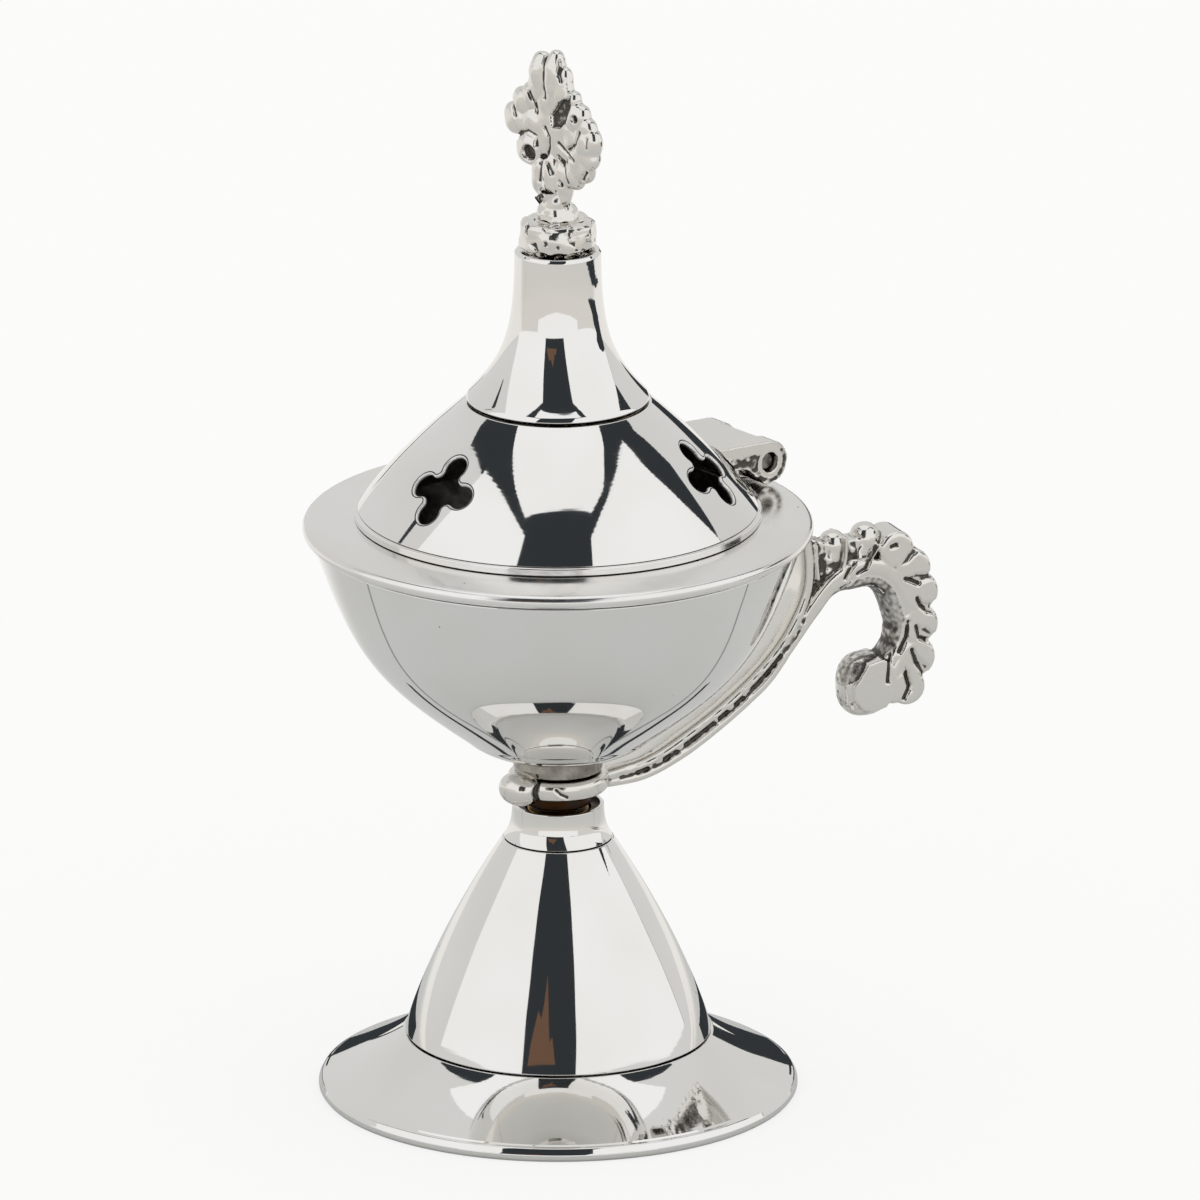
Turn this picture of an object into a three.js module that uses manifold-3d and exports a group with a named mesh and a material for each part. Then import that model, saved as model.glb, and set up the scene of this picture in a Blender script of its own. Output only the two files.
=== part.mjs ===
// A footed hand censer in nickel-plated brass: a turned foot, a bowl with a hinged and pierced lid,
// a cross finial, and a cast scroll handle that is clamped by its eye under the bowl.
// Units are millimetres and +Z is up. The handle points along +X.
import * as THREE from "three";
import { mergeVertices } from "three/addons/utils/BufferGeometryUtils.js";
import Module from "manifold-3d";

const wasm = await Module();
wasm.setup();

// Driving dimensions
const FOOT_RADIUS = 37.7;
const RIM_RADIUS = 40;
const LID_RADIUS = 32;
const DOME_RADIUS = 31.4;
const TOTAL_HEIGHT = 170.2;
const AXIS_X = -12.7; // the turning axis, measured from the middle of the whole object's box
const WALL = 0.9; // spun sheet
const SEAT_GAP = 0.2; // left between pieces that touch
const CUT_GAP = 0.3; // left where one piece is cut to follow another

// Heights of the seams between the stacked pieces
const BELL_BASE_Z = 9.6;
const COLLAR_BASE_Z = 41.5;
const COLLAR_TOP_Z = 46.9;
const EYE_BASE_Z = 49.1;
const BOSS_BASE_Z = 52.6;
const BOWL_BASE_Z = 54.6;
const BOWL_TOP_Z = 90.9;
const RIM_TOP_Z = 94.3;
const DOME_BASE_Z = 95.6;
const NECK_BASE_Z = 113.6;
const CAP_BASE_Z = 138;
const CROSS_BASE_Z = 142.8;

// The bolt that holds the foot, the handle and the bowl together
const BOLT_RADIUS = 2.5;
const BOLT_BORE = 2.8;
const BOLT_HEAD_RADIUS = 4.3;
const BOLT_HEAD_HEIGHT = 2.6;
const BOLT_WASHER_THICKNESS = 0.8;
const BOLT_END_Z = 39;

// The stud that holds the dome, the neck, the cap and the cross together
const STUD_RADIUS = 1.8;
const STUD_BORE = 2.1;
const STUD_END_Z = 108.6;
const STUD_TOP_Z = 146;
const FINIAL_WASHER_BASE_Z = 111.6;
const FINIAL_WASHER_THICKNESS = 0.6;
const NUT_CORNER_RADIUS = 3.4;
const NUT_HEIGHT = 2.2;

// The lid's hinge, turned 15 degrees from the handle
const HINGE_TURN = THREE.MathUtils.degToRad(15);
const HINGE_X = 36.4; // from the turning axis
const HINGE_Z = 97.5;
const KNUCKLE_RADIUS = 3.5;
const LUG_RADIUS = 2.9;
const LEAF_SLOPE = THREE.MathUtils.degToRad(3);
const LEAF_REACH = 12;
const LEAF_THICKNESS = 1.8;
const HINGE_HALF_WIDTH = 8;
const LUG_HALF_WIDTH = 4;
const CHEEK_INNER_Y = 4.4;
const PIN_RADIUS = 1.3;
const PIN_BORE = 1.6;

// The pierced crosses in the dome
const PIERCING_COUNT = 3;
const PIERCING_TURN = THREE.MathUtils.degToRad(78.4);
const PIERCING_TILT = THREE.MathUtils.degToRad(45.8); // of the dome's outward normal there
const PIERCING_X = 24.5;
const PIERCING_Z = 103.5;
const PIERCING_LOBE_RADIUS = 2.25;
const PIERCING_LOBE_REACH = 3.9; // from the middle of the cross to the middle of a lobe
const PIERCING_CORNER = 1.7;

// The cross and the handle
const CROSS_TURN = THREE.MathUtils.degToRad(-70);
const CROSS_MIDDLE_Z = 157;
const CROSS_HALF_SPAN = 11.4;
const HANDLE_WIDTH = 7;
const STRAP_ROOT = 2.9; // its thickness where it leaves the eye, along its run and at its tip
const STRAP_THICKNESS = 3.9;
const STRAP_TIP = 1.6;
const SCROLL_THICKNESS = 2.6;
const SCROLL_BELLY = 1.3; // how far the scroll's inner face swells past its edges

// Facets
const LARGE = 36;
const MEDIUM = 28;
const SMALL = 14;

const polished = { color: 0xd9d6d0, metalness: 1, roughness: 0.06 };
const cast = { color: 0xc9c5be, metalness: 1, roughness: 0.24 };
const brass = { color: 0xb08d4a, metalness: 1, roughness: 0.35 };
const steel = { color: 0x9d9c99, metalness: 1, roughness: 0.4 };

const point = (radius, z) => new THREE.Vector2(radius, z);

function part(name, geometry, finish) {
  const mesh = new THREE.Mesh(geometry, new THREE.MeshStandardMaterial(finish));
  mesh.name = name;
  return mesh;
}

// A body turned about the Z axis. The profile is a closed loop that runs counter-clockwise in (radius, z).
function turned(profile, segments) {
  const loop = profile[0].x === 0 ? profile : [...profile, profile[0].clone()];
  return new THREE.LatheGeometry(loop, segments).rotateX(Math.PI / 2);
}

function ring(inner, outer, bottom, top, segments) {
  return turned([point(inner, bottom), point(outer, bottom), point(outer, top), point(inner, top)], segments);
}

// The closed profile of a sheet whose outer face follows the given points from bottom to top.
function sheetProfile(outer, wall) {
  const inner = outer.map((p, i) => {
    const before = outer[Math.max(i - 1, 0)];
    const after = outer[Math.min(i + 1, outer.length - 1)];
    const along = after.clone().sub(before).normalize();
    return point(p.x - along.y * wall, p.y + along.x * wall);
  });
  return [...outer, ...inner.reverse()];
}

function solidOf(geometry) {
  const bare = geometry.clone();
  bare.deleteAttribute("normal");
  bare.deleteAttribute("uv");
  const merged = mergeVertices(bare, 1e-4);
  return new wasm.Manifold(
    new wasm.Mesh({
      numProp: 3,
      vertProperties: merged.attributes.position.array,
      triVerts: new Uint32Array(merged.index.array),
    }),
  );
}

function geometryOf(solid) {
  const mesh = solid.getMesh();
  const geometry = new THREE.BufferGeometry();
  geometry.setAttribute("position", new THREE.BufferAttribute(mesh.vertProperties, 3));
  geometry.setIndex(new THREE.BufferAttribute(mesh.triVerts, 1));
  const faceted = geometry.toNonIndexed();
  faceted.computeVertexNormals();
  return faceted;
}

const joined = (geometries) => geometries.map(solidOf).reduce((all, next) => all.add(next));

function ellipsoid(halfX, halfY, halfZ, around, down) {
  return new THREE.SphereGeometry(1, around, down).scale(halfX, halfY, halfZ);
}

function cylinderAlongY(radius, fromY, toY, segments) {
  return new THREE.CylinderGeometry(radius, radius, toY - fromY, segments).translate(0, (fromY + toY) / 2, 0);
}

// A bar swept along a path in the XZ plane, with a chamfered section whose size varies from 0 to 1 along it.
function sweptBar(path, steps, widthAt, thicknessAt, belly = 0) {
  const sides = 8;
  const positions = [];
  const indices = [];
  for (let step = 0; step <= steps; step++) {
    const t = step / steps;
    const centre = path.getPointAt(t);
    const along = path.getTangentAt(t);
    const across = new THREE.Vector3(-along.z, 0, along.x);
    const halfWidth = widthAt(t) / 2;
    const halfThickness = thicknessAt(t) / 2;
    const chamfer = Math.min(halfWidth, halfThickness) * 0.4;
    const section = [
      [halfThickness, -halfWidth + chamfer],
      [halfThickness, halfWidth - chamfer],
      [halfThickness - chamfer, halfWidth],
      [-halfThickness + chamfer, halfWidth],
      [-halfThickness - belly, halfWidth - chamfer - belly],
      [-halfThickness - belly, -halfWidth + chamfer + belly],
      [-halfThickness + chamfer, -halfWidth],
      [halfThickness - chamfer, -halfWidth],
    ];
    for (const [outward, sideways] of section) {
      positions.push(centre.x + across.x * outward, sideways, centre.z + across.z * outward);
    }
    if (step === 0) continue;
    for (let side = 0; side < sides; side++) {
      const a = (step - 1) * sides + side;
      const b = (step - 1) * sides + ((side + 1) % sides);
      indices.push(a, a + sides, b, b, a + sides, b + sides);
    }
  }
  const last = steps * sides;
  for (let side = 1; side < sides - 1; side++) {
    indices.push(0, side, side + 1, last, last + side + 1, last + side);
  }
  const geometry = new THREE.BufferGeometry();
  geometry.setAttribute("position", new THREE.Float32BufferAttribute(positions, 3));
  geometry.setIndex(indices);
  return geometry;
}

const flatPath = (points) => new THREE.CatmullRomCurve3(points.map(([x, z]) => new THREE.Vector3(x, 0, z)));

// Foot

// The flared base, with a rounded lip that stands on the table and an upstand inside the bell.
function footBase() {
  const slope = new THREE.QuadraticBezierCurve(point(36.4, 2.5), point(29, 5.6), point(24.4, 9.4));
  const underside = new THREE.QuadraticBezierCurve(point(21.3, 8.6), point(28.4, 4.6), point(35.7, 1.5));
  const profile = [
    point(35.8, 0),
    point(37.3, 0),
    point(FOOT_RADIUS, 0.5),
    point(FOOT_RADIUS, 1.1),
    point(37.2, 2),
    ...slope.getPoints(4),
    point(22.1, 9.4),
    point(22.1, 12),
    point(21.3, 12),
    ...underside.getPoints(3),
  ];
  return part("foot_base", turned(profile, LARGE), polished);
}

function footBell() {
  const outside = new THREE.QuadraticBezierCurve(point(24.1, BELL_BASE_Z), point(19.7, 24.2), point(8.7, 41.3));
  const wallTop = [...outside.getPoints(7), point(5.2, 41.3)];
  const inside = new THREE.QuadraticBezierCurve(point(7.6, 40.4), point(18.8, 23.8), point(23.3, BELL_BASE_Z));
  return part("foot_bell", turned([...wallTop, point(5.2, 40.4), ...inside.getPoints(5)], LARGE), polished);
}

function footCollar() {
  const profile = [
    point(5.2, COLLAR_BASE_Z),
    point(8.5, COLLAR_BASE_Z),
    point(8.1, 42.7),
    point(7.75, 44.6),
    point(7.55, 46.4),
    point(7.3, COLLAR_TOP_Z),
    point(5.2, COLLAR_TOP_Z),
  ];
  return part("foot_collar", turned(profile, MEDIUM), polished);
}

// The tapped brass bush that the bolt screws into. Its flange bears on the inside of the bell's top.
function footBush() {
  const profile = [
    point(2.7, 37.6),
    point(6.6, 37.6),
    point(6.6, 40.2),
    point(4.9, 40.2),
    point(4.9, 46.2),
    point(2.7, 46.2),
  ];
  return part("foot_bush", turned(profile, SMALL), brass);
}

function spacerWasher() {
  const bottom = COLLAR_TOP_Z + SEAT_GAP;
  return part("spacer_washer", ring(BOLT_BORE, 5.9, bottom, EYE_BASE_Z - SEAT_GAP, SMALL), brass);
}

// Bowl

function bowlBoss() {
  const profile = [
    point(BOLT_BORE, BOSS_BASE_Z),
    point(7.4, BOSS_BASE_Z),
    point(7.4, 53.2),
    point(7.9, 53.9),
    point(9.1, 54.4),
    point(BOLT_BORE, 54.4),
  ];
  return part("bowl_boss", turned(profile, MEDIUM), polished);
}

function bowlShell() {
  const side = new THREE.CubicBezierCurve(
    point(15.7, 59),
    point(30, 69.7),
    point(32.5, 73.2),
    point(38.55, BOWL_TOP_Z),
  );
  const outer = [
    point(BOLT_BORE, BOWL_BASE_Z),
    point(9.6, BOWL_BASE_Z),
    point(11.2, 55.5),
    ...side.getPoints(8),
  ];
  const profile = sheetProfile(outer, WALL);
  profile[profile.length - 1].x = BOLT_BORE; // the hole's wall is upright
  return part("bowl_shell", turned(profile, LARGE), polished);
}

// The ring that closes the bowl's mouth inwards to the lid, with a rounded lip.
function rimRing() {
  const lip = { radius: 1.1, x: RIM_RADIUS - 1.1, z: 92.4 };
  const lipArc = [];
  for (let step = 0; step <= 5; step++) {
    const angle = -Math.PI / 2 + (Math.PI * step) / 5;
    lipArc.push(point(lip.x + lip.radius * Math.cos(angle), lip.z + lip.radius * Math.sin(angle)));
  }
  const profile = [point(37.4, 91.6), ...lipArc, point(31.2, RIM_TOP_Z), point(31.2, 93.4), point(37.4, 92.6)];
  return part("rim_ring", turned(profile, LARGE), polished);
}

function boltWasher() {
  const bottom = BOWL_BASE_Z + WALL + SEAT_GAP;
  return part("bolt_washer", ring(BOLT_BORE, 5.6, bottom, bottom + BOLT_WASHER_THICKNESS, SMALL), brass);
}

// The pan-headed bolt, slotted, which goes down from inside the bowl into the foot's bush.
function stemBolt() {
  const headBase = BOWL_BASE_Z + WALL + BOLT_WASHER_THICKNESS + 2 * SEAT_GAP;
  const headTop = headBase + BOLT_HEAD_HEIGHT;
  const profile = [
    point(0, BOLT_END_Z),
    point(2, BOLT_END_Z),
    point(BOLT_RADIUS, BOLT_END_Z + 0.5),
    point(BOLT_RADIUS, headBase),
    point(BOLT_HEAD_RADIUS, headBase),
    point(BOLT_HEAD_RADIUS, headTop - 0.7),
    point(3.6, headTop),
    point(0, headTop),
  ];
  const slot = new THREE.BoxGeometry(10, 1, 2).translate(0, 0, headTop);
  return part("stem_bolt", geometryOf(solidOf(turned(profile, SMALL)).subtract(solidOf(slot))), brass);
}

// The loose pressed dish that holds the charcoal clear of the bolt.
function emberDish() {
  const profile = [
    point(0, 62),
    point(17, 62),
    point(28, 72.6),
    point(29.3, 72.9),
    point(29.3, 73.7),
    point(27.6, 73.5),
    point(16.7, 62.8),
    point(0, 62.8),
  ];
  return part("ember_dish", turned(profile, MEDIUM), steel);
}

// Lid

// The lid's flat edge, with the skirt that drops inside the rim to centre it.
function lidLip() {
  const profile = [
    point(29.6, 92.2),
    point(30.6, 92.2),
    point(30.6, 94.6),
    point(LID_RADIUS, 94.6),
    point(LID_RADIUS, 95.4),
    point(29.6, 95.4),
  ];
  return part("lid_lip", turned(profile, LARGE), polished);
}

const domeCurve = new THREE.QuadraticBezierCurve(
  point(DOME_RADIUS, DOME_BASE_Z),
  point(25.4, 103.8),
  point(14.6, 113.1),
);

// A cutter shaped as a cross of four round lobes, standing square to the dome at one piercing.
function piercingCutter(index) {
  const depth = 8;
  const lobeHalfArc = THREE.MathUtils.degToRad(134);
  const outline = new THREE.Shape();
  for (let arm = 0; arm < 4; arm++) {
    const turn = (arm * Math.PI) / 2;
    const [cos, sin] = [Math.cos(turn), Math.sin(turn)];
    outline.absarc(
      PIERCING_LOBE_REACH * cos,
      PIERCING_LOBE_REACH * sin,
      PIERCING_LOBE_RADIUS,
      turn - lobeHalfArc,
      turn + lobeHalfArc,
    );
    outline.lineTo(PIERCING_CORNER * (cos - sin), PIERCING_CORNER * (sin + cos));
  }
  return new THREE.ExtrudeGeometry(outline, { depth, bevelEnabled: false, curveSegments: 4 })
    .translate(0, 0, -depth / 2)
    .rotateY(Math.PI / 2 - PIERCING_TILT)
    .translate(PIERCING_X, 0, PIERCING_Z)
    .rotateZ(PIERCING_TURN + (index * 2 * Math.PI) / PIERCING_COUNT);
}

function lidDome() {
  const outer = [...domeCurve.getPoints(7), point(STUD_BORE + CUT_GAP, 113.4)];
  const profile = sheetProfile(outer, WALL);
  profile[profile.length - 1] = point(DOME_RADIUS - 1.1, DOME_BASE_Z); // its foot is flat
  let solid = solidOf(turned(profile, LARGE));
  for (let index = 0; index < PIERCING_COUNT; index++) {
    solid = solid.subtract(solidOf(piercingCutter(index)));
  }
  return part("lid_dome", geometryOf(solid), polished);
}

function lidNeck() {
  const hole = STUD_BORE + CUT_GAP;
  const flare = new THREE.CubicBezierCurve(
    point(14.2, 114.1),
    point(8.7, 119.8),
    point(6.8, 124),
    point(6.8, 137.3),
  );
  const outer = [point(14.3, NECK_BASE_Z), ...flare.getPoints(7), point(6.6, 137.8), point(hole, 137.8)];
  const profile = sheetProfile(outer, WALL);
  profile[outer.length] = point(hole, 136.9);
  profile[outer.length + 1] = point(5.9, 136.9);
  profile[profile.length - 1] = point(13.3, NECK_BASE_Z);
  return part("lid_neck", turned(profile, MEDIUM), polished);
}

// The cast cap under the cross.
function finialCap() {
  const profile = [
    point(STUD_BORE, CAP_BASE_Z),
    point(6, CAP_BASE_Z),
    point(6.1, 139.2),
    point(6, 141.2),
    point(5.4, 142.2),
    point(4.4, 142.6),
    point(STUD_BORE, 142.6),
  ];
  return part("finial_cap", turned(profile, MEDIUM), cast);
}

// A cross whose four arms each end in three petals above two curls, on a small round base.
function finialCross() {
  const petal = (length, width, thickness, x, z, turn) =>
    ellipsoid(width / 2, thickness / 2, length / 2, 7, 5)
      .rotateY(turn)
      .translate(x, 0, z);
  const upperSpan = TOTAL_HEIGHT - CROSS_MIDDLE_Z;
  const lowerSpan = CROSS_MIDDLE_Z - CROSS_BASE_Z;
  const pieces = [upperSpan, CROSS_HALF_SPAN, lowerSpan, CROSS_HALF_SPAN].flatMap((span, arm) => {
    const head = arm === 2 ? span - 2.6 : span; // the lower arm's petals stop above the base
    const ownPieces = [petal(span, 3.2, 3.2, 0, span / 2 - 1, 0), petal(6.6, 3.8, 3.2, 0, head - 3.3, 0)];
    for (const side of [-1, 1]) {
      ownPieces.push(petal(7, 3.4, 2.9, side * 3.3, head - 4.6, side * 0.9));
      ownPieces.push(petal(3.6, 3.6, 2.7, side * 4.5, head - 7.2, 0));
    }
    return ownPieces.map((piece) => piece.rotateY((arm * Math.PI) / 2));
  });
  pieces.push(ellipsoid(3.2, 2.2, 3.2, 7, 5).rotateY(Math.PI / 4));
  const cross = joined(pieces.map((piece) => piece.translate(0, 0, CROSS_MIDDLE_Z)));
  const base = turned(
    [point(0, CROSS_BASE_Z), point(3, CROSS_BASE_Z), point(2.7, 147), point(0, 148.5)],
    SMALL,
  );
  const boreBase = CROSS_BASE_Z - 4;
  const boreTop = STUD_TOP_Z + 0.4;
  const bore = turned(
    [point(0, boreBase), point(STUD_BORE, boreBase), point(STUD_BORE, boreTop), point(0, boreTop)],
    SMALL,
  );
  const below = new THREE.BoxGeometry(30, 30, 6).translate(0, 0, CROSS_BASE_Z - 3);
  const solid = cross.add(solidOf(base)).subtract(solidOf(below)).subtract(solidOf(bore));
  return part("finial_cross", geometryOf(solid).rotateZ(CROSS_TURN), cast);
}

function finialStud() {
  const profile = [
    point(0, STUD_END_Z),
    point(1.5, STUD_END_Z),
    point(STUD_RADIUS, STUD_END_Z + 0.3),
    point(STUD_RADIUS, STUD_TOP_Z),
    point(0, STUD_TOP_Z),
  ];
  return part("finial_stud", turned(profile, SMALL), brass);
}

function finialWasher() {
  const top = FINIAL_WASHER_BASE_Z + FINIAL_WASHER_THICKNESS;
  return part("finial_washer", ring(STUD_BORE, 4.2, FINIAL_WASHER_BASE_Z, top, SMALL), brass);
}

function finialNut() {
  const top = FINIAL_WASHER_BASE_Z - SEAT_GAP;
  return part("finial_nut", ring(STUD_BORE, NUT_CORNER_RADIUS, top - NUT_HEIGHT, top, 6), brass);
}

// Hinge, made along +X and turned into place

const pinBore = () => solidOf(cylinderAlongY(PIN_BORE, -HINGE_HALF_WIDTH - 1, HINGE_HALF_WIDTH + 1, SMALL));

// The central lug: a foot that lies on the rim's slope, and the middle knuckle.
function hingeLug() {
  const outline = new THREE.Shape();
  outline.moveTo(-3.6, -3.1);
  outline.lineTo(2.3, -3.7);
  outline.absarc(0, 0, LUG_RADIUS, -0.4, Math.PI);
  outline.lineTo(-3.6, -1.5);
  const body = new THREE.ExtrudeGeometry(outline, {
    depth: 2 * LUG_HALF_WIDTH,
    bevelEnabled: false,
    curveSegments: 12,
  })
    .rotateX(Math.PI / 2)
    .translate(0, LUG_HALF_WIDTH, 0);
  const lug = geometryOf(solidOf(body).subtract(pinBore()));
  return part("hinge_lug", lug.translate(HINGE_X, 0, HINGE_Z).rotateZ(HINGE_TURN), cast);
}

// The lid's leaf: a top plate as wide as the hinge, carried on two cheeks that end in the outer knuckles.
function hingeLeaf() {
  const tangent = new THREE.Vector2(Math.sin(LEAF_SLOPE), Math.cos(LEAF_SLOPE)).multiplyScalar(KNUCKLE_RADIUS);
  const innerTop = KNUCKLE_RADIUS + LEAF_REACH * Math.tan(LEAF_SLOPE);
  const lugSpace = LUG_RADIUS + CUT_GAP;
  const cheekOutline = new THREE.Shape();
  cheekOutline.absarc(0, 0, KNUCKLE_RADIUS, -Math.PI * 0.62, Math.PI / 2 - LEAF_SLOPE);
  cheekOutline.lineTo(-LEAF_REACH, innerTop);
  cheekOutline.lineTo(-LEAF_REACH, 0.4);
  cheekOutline.lineTo(-4.5, -0.3);
  const plateOutline = new THREE.Shape();
  plateOutline.moveTo(tangent.x, tangent.y);
  plateOutline.lineTo(-LEAF_REACH, innerTop);
  plateOutline.lineTo(-LEAF_REACH, innerTop - LEAF_THICKNESS);
  plateOutline.absarc(0, 0, lugSpace, Math.PI * 0.8, Math.PI / 2, true);
  const slab = (outline, fromY, depth) =>
    new THREE.ExtrudeGeometry(outline, { depth, bevelEnabled: false, curveSegments: 8 })
      .rotateX(Math.PI / 2)
      .translate(0, fromY + depth, 0);
  const cheekDepth = HINGE_HALF_WIDTH - CHEEK_INNER_Y;
  const leaf = joined([
    slab(cheekOutline, CHEEK_INNER_Y, cheekDepth),
    slab(cheekOutline, -HINGE_HALF_WIDTH, cheekDepth),
    slab(plateOutline, -HINGE_HALF_WIDTH, 2 * HINGE_HALF_WIDTH),
  ]).subtract(pinBore());
  const clearance = domeCurve.getPoints(12).map((p) => point(p.x + CUT_GAP, p.y + CUT_GAP));
  const lidEdge = LID_RADIUS + CUT_GAP;
  const domeSpace = turned(
    [point(0, 90), point(lidEdge, 90), point(lidEdge, 95.8), ...clearance, point(0, 113.4)],
    LARGE,
  );
  const placed = geometryOf(leaf).translate(HINGE_X, 0, HINGE_Z).rotateZ(HINGE_TURN);
  return part("hinge_leaf", geometryOf(solidOf(placed).subtract(solidOf(domeSpace))), cast);
}

function hingePin() {
  const half = HINGE_HALF_WIDTH + 0.2;
  const pin = cylinderAlongY(PIN_RADIUS, -half, half, 12).translate(HINGE_X, 0, HINGE_Z).rotateZ(HINGE_TURN);
  return part("hinge_pin", pin, steel);
}

// Handle

const strapPath = flatPath([
  [6.4, 50.6],
  [14.6, 51.8],
  [22.2, 55.6],
  [29.9, 60.7],
  [35.8, 65.9],
  [40, 71.4],
  [42.2, 77],
  [42.2, 82],
  [41.3, 86.6],
  [40.2, 90.3],
]);
const scrollPath = flatPath([
  [39.6, 70.8],
  [42.4, 74.4],
  [46.8, 78.6],
  [51.6, 80.4],
  [56.4, 79.2],
  [59.4, 75.8],
  [60.2, 71.4],
  [60, 66.6],
  [58.2, 62.2],
  [54.4, 58.6],
]);
const lobeTips = [
  [43.9, 85.4],
  [47.8, 86.6],
  [53, 86.9],
  [58.9, 84.2],
  [63.2, 79.6],
  [65, 74],
  [65.2, 68.2],
  [64.6, 62.4],
  [62.4, 55.6],
];

// One gadroon lobe, from its root on the scroll's band to its rounded tip.
function gadroon([tipX, tipZ], index) {
  const root = scrollPath.getPointAt(0.08 + 0.094 * index);
  const reachX = tipX - root.x;
  const reachZ = tipZ - root.z;
  return ellipsoid(Math.hypot(reachX, reachZ) / 2 + 0.4, 3.4, 2.1, 8, 6)
    .rotateY(-Math.atan2(reachZ, reachX))
    .translate(root.x + reachX / 2, 0, root.z + reachZ / 2);
}

function handle() {
  const strapThickness = (t) => {
    if (t < 0.15) return THREE.MathUtils.lerp(STRAP_ROOT, STRAP_THICKNESS, t / 0.15);
    return THREE.MathUtils.lerp(STRAP_THICKNESS, STRAP_TIP, Math.max(0, (t - 0.7) / 0.3));
  };
  const strap = sweptBar(strapPath, 18, () => HANDLE_WIDTH, strapThickness);
  const scroll = sweptBar(
    scrollPath,
    20,
    (t) => HANDLE_WIDTH - 0.6 * t,
    () => SCROLL_THICKNESS,
    SCROLL_BELLY,
  );
  const roll = cylinderAlongY(1, -3.7, 3.7, 18).scale(4.1, 1, 5.1).translate(52.3, 0, 59.7);
  const webOutline = new THREE.Shape([point(40.6, 73), point(47.4, 78.6), point(46.5, 83.4), point(41.5, 86)]);
  const web = new THREE.ExtrudeGeometry(webOutline, { depth: 4.6, bevelEnabled: false })
    .rotateX(Math.PI / 2)
    .translate(0, 2.3, 0);
  const eyeProfile = [
    point(0, EYE_BASE_Z),
    point(7.3, EYE_BASE_Z),
    point(8, 50),
    point(8, 51.5),
    point(7.3, 52.4),
    point(0, 52.4),
  ];
  const knobTurn = THREE.MathUtils.degToRad(192);
  const knob = ellipsoid(2.6, 3, 1.75, 12, 8).translate(6.9, 0, 50.65).rotateZ(knobTurn);
  const bore = turned([point(0, 40), point(BOLT_BORE, 40), point(BOLT_BORE, 60), point(0, 60)], SMALL);
  const eye = turned(eyeProfile, MEDIUM);
  const casting = joined([strap, scroll, roll, web, eye, knob, ...lobeTips.map(gadroon)]);
  return part("handle", geometryOf(casting.subtract(solidOf(bore))), cast);
}

const censer = new THREE.Group();
const axis = new THREE.Group();
axis.position.x = AXIS_X;
censer.add(axis);
axis.add(
  footBase(),
  footBell(),
  footCollar(),
  footBush(),
  spacerWasher(),
  bowlBoss(),
  bowlShell(),
  rimRing(),
  boltWasher(),
  stemBolt(),
  emberDish(),
  handle(),
  hingeLug(),
  hingePin(),
  hingeLeaf(),
  lidLip(),
  lidDome(),
  lidNeck(),
  finialCap(),
  finialCross(),
  finialStud(),
  finialWasher(),
  finialNut(),
);

export default censer;
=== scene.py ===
"""A footed hand censer of nickel-plated brass: the looks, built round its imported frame."""

import math

import bmesh
import bpy
import numpy as np
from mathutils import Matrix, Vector, noise
from mathutils.geometry import delaunay_2d_cdt


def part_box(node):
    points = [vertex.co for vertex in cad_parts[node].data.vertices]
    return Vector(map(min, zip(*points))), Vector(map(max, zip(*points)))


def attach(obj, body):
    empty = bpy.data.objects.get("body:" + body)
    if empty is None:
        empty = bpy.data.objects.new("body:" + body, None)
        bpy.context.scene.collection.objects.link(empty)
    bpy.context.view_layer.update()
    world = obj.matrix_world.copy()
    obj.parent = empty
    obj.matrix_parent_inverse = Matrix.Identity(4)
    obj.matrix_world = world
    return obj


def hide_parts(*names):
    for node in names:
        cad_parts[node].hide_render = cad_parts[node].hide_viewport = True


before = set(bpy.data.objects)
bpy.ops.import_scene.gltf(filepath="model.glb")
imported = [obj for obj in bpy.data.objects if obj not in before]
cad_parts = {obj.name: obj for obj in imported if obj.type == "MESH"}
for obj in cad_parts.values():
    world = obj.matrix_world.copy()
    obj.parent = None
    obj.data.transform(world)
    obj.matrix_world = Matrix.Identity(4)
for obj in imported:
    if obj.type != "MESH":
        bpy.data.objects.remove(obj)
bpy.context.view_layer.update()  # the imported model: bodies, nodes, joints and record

bl_info = {
    "name": "Hand Censer",
    "version": (1, 0, 0),
    "blender": (4, 5, 0),
    "location": "3D View > Sidebar > Censer",
    "description": "Builds a footed hand censer of nickel-plated brass on its packed frame",
    "category": "Add Mesh",
}

MM = 0.001
IMAGE_SIDE = 1200  # pixels of the picture that the camera is placed for

BASE_LOW, BASE_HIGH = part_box("foot_base")
RIM_LOW, RIM_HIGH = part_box("rim_ring")
LID_LOW, LID_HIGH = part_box("lid_lip")
AXIS = (BASE_LOW.x + BASE_HIGH.x) / 2 / MM  # where the turning axis stands along X
FOOT_ACROSS = BASE_HIGH.y - BASE_LOW.y
RIM_ACROSS = RIM_HIGH.y - RIM_LOW.y
LID_ACROSS = LID_HIGH.y - LID_LOW.y

# The same driving values as the frame, in millimetres, measured from the turning axis
HINGE_TURN = math.radians(15)
HINGE_X, HINGE_Z = 36.4, 97.5
KNUCKLE_RADIUS, LUG_RADIUS = 3.5, 2.9
HINGE_HALF_WIDTH, LUG_HALF_WIDTH, CHEEK_INNER_Y = 8.0, 4.0, 4.4
LEAF_SLOPE, LEAF_REACH, LEAF_THICKNESS = math.radians(3), 12.0, 1.8
PIN_BORE = 1.6
CROSS_TURN = math.radians(-70)
CROSS_MIDDLE_Z, CROSS_BASE_Z = 157.0, 142.8
STUD_BORE = 2.1
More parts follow.
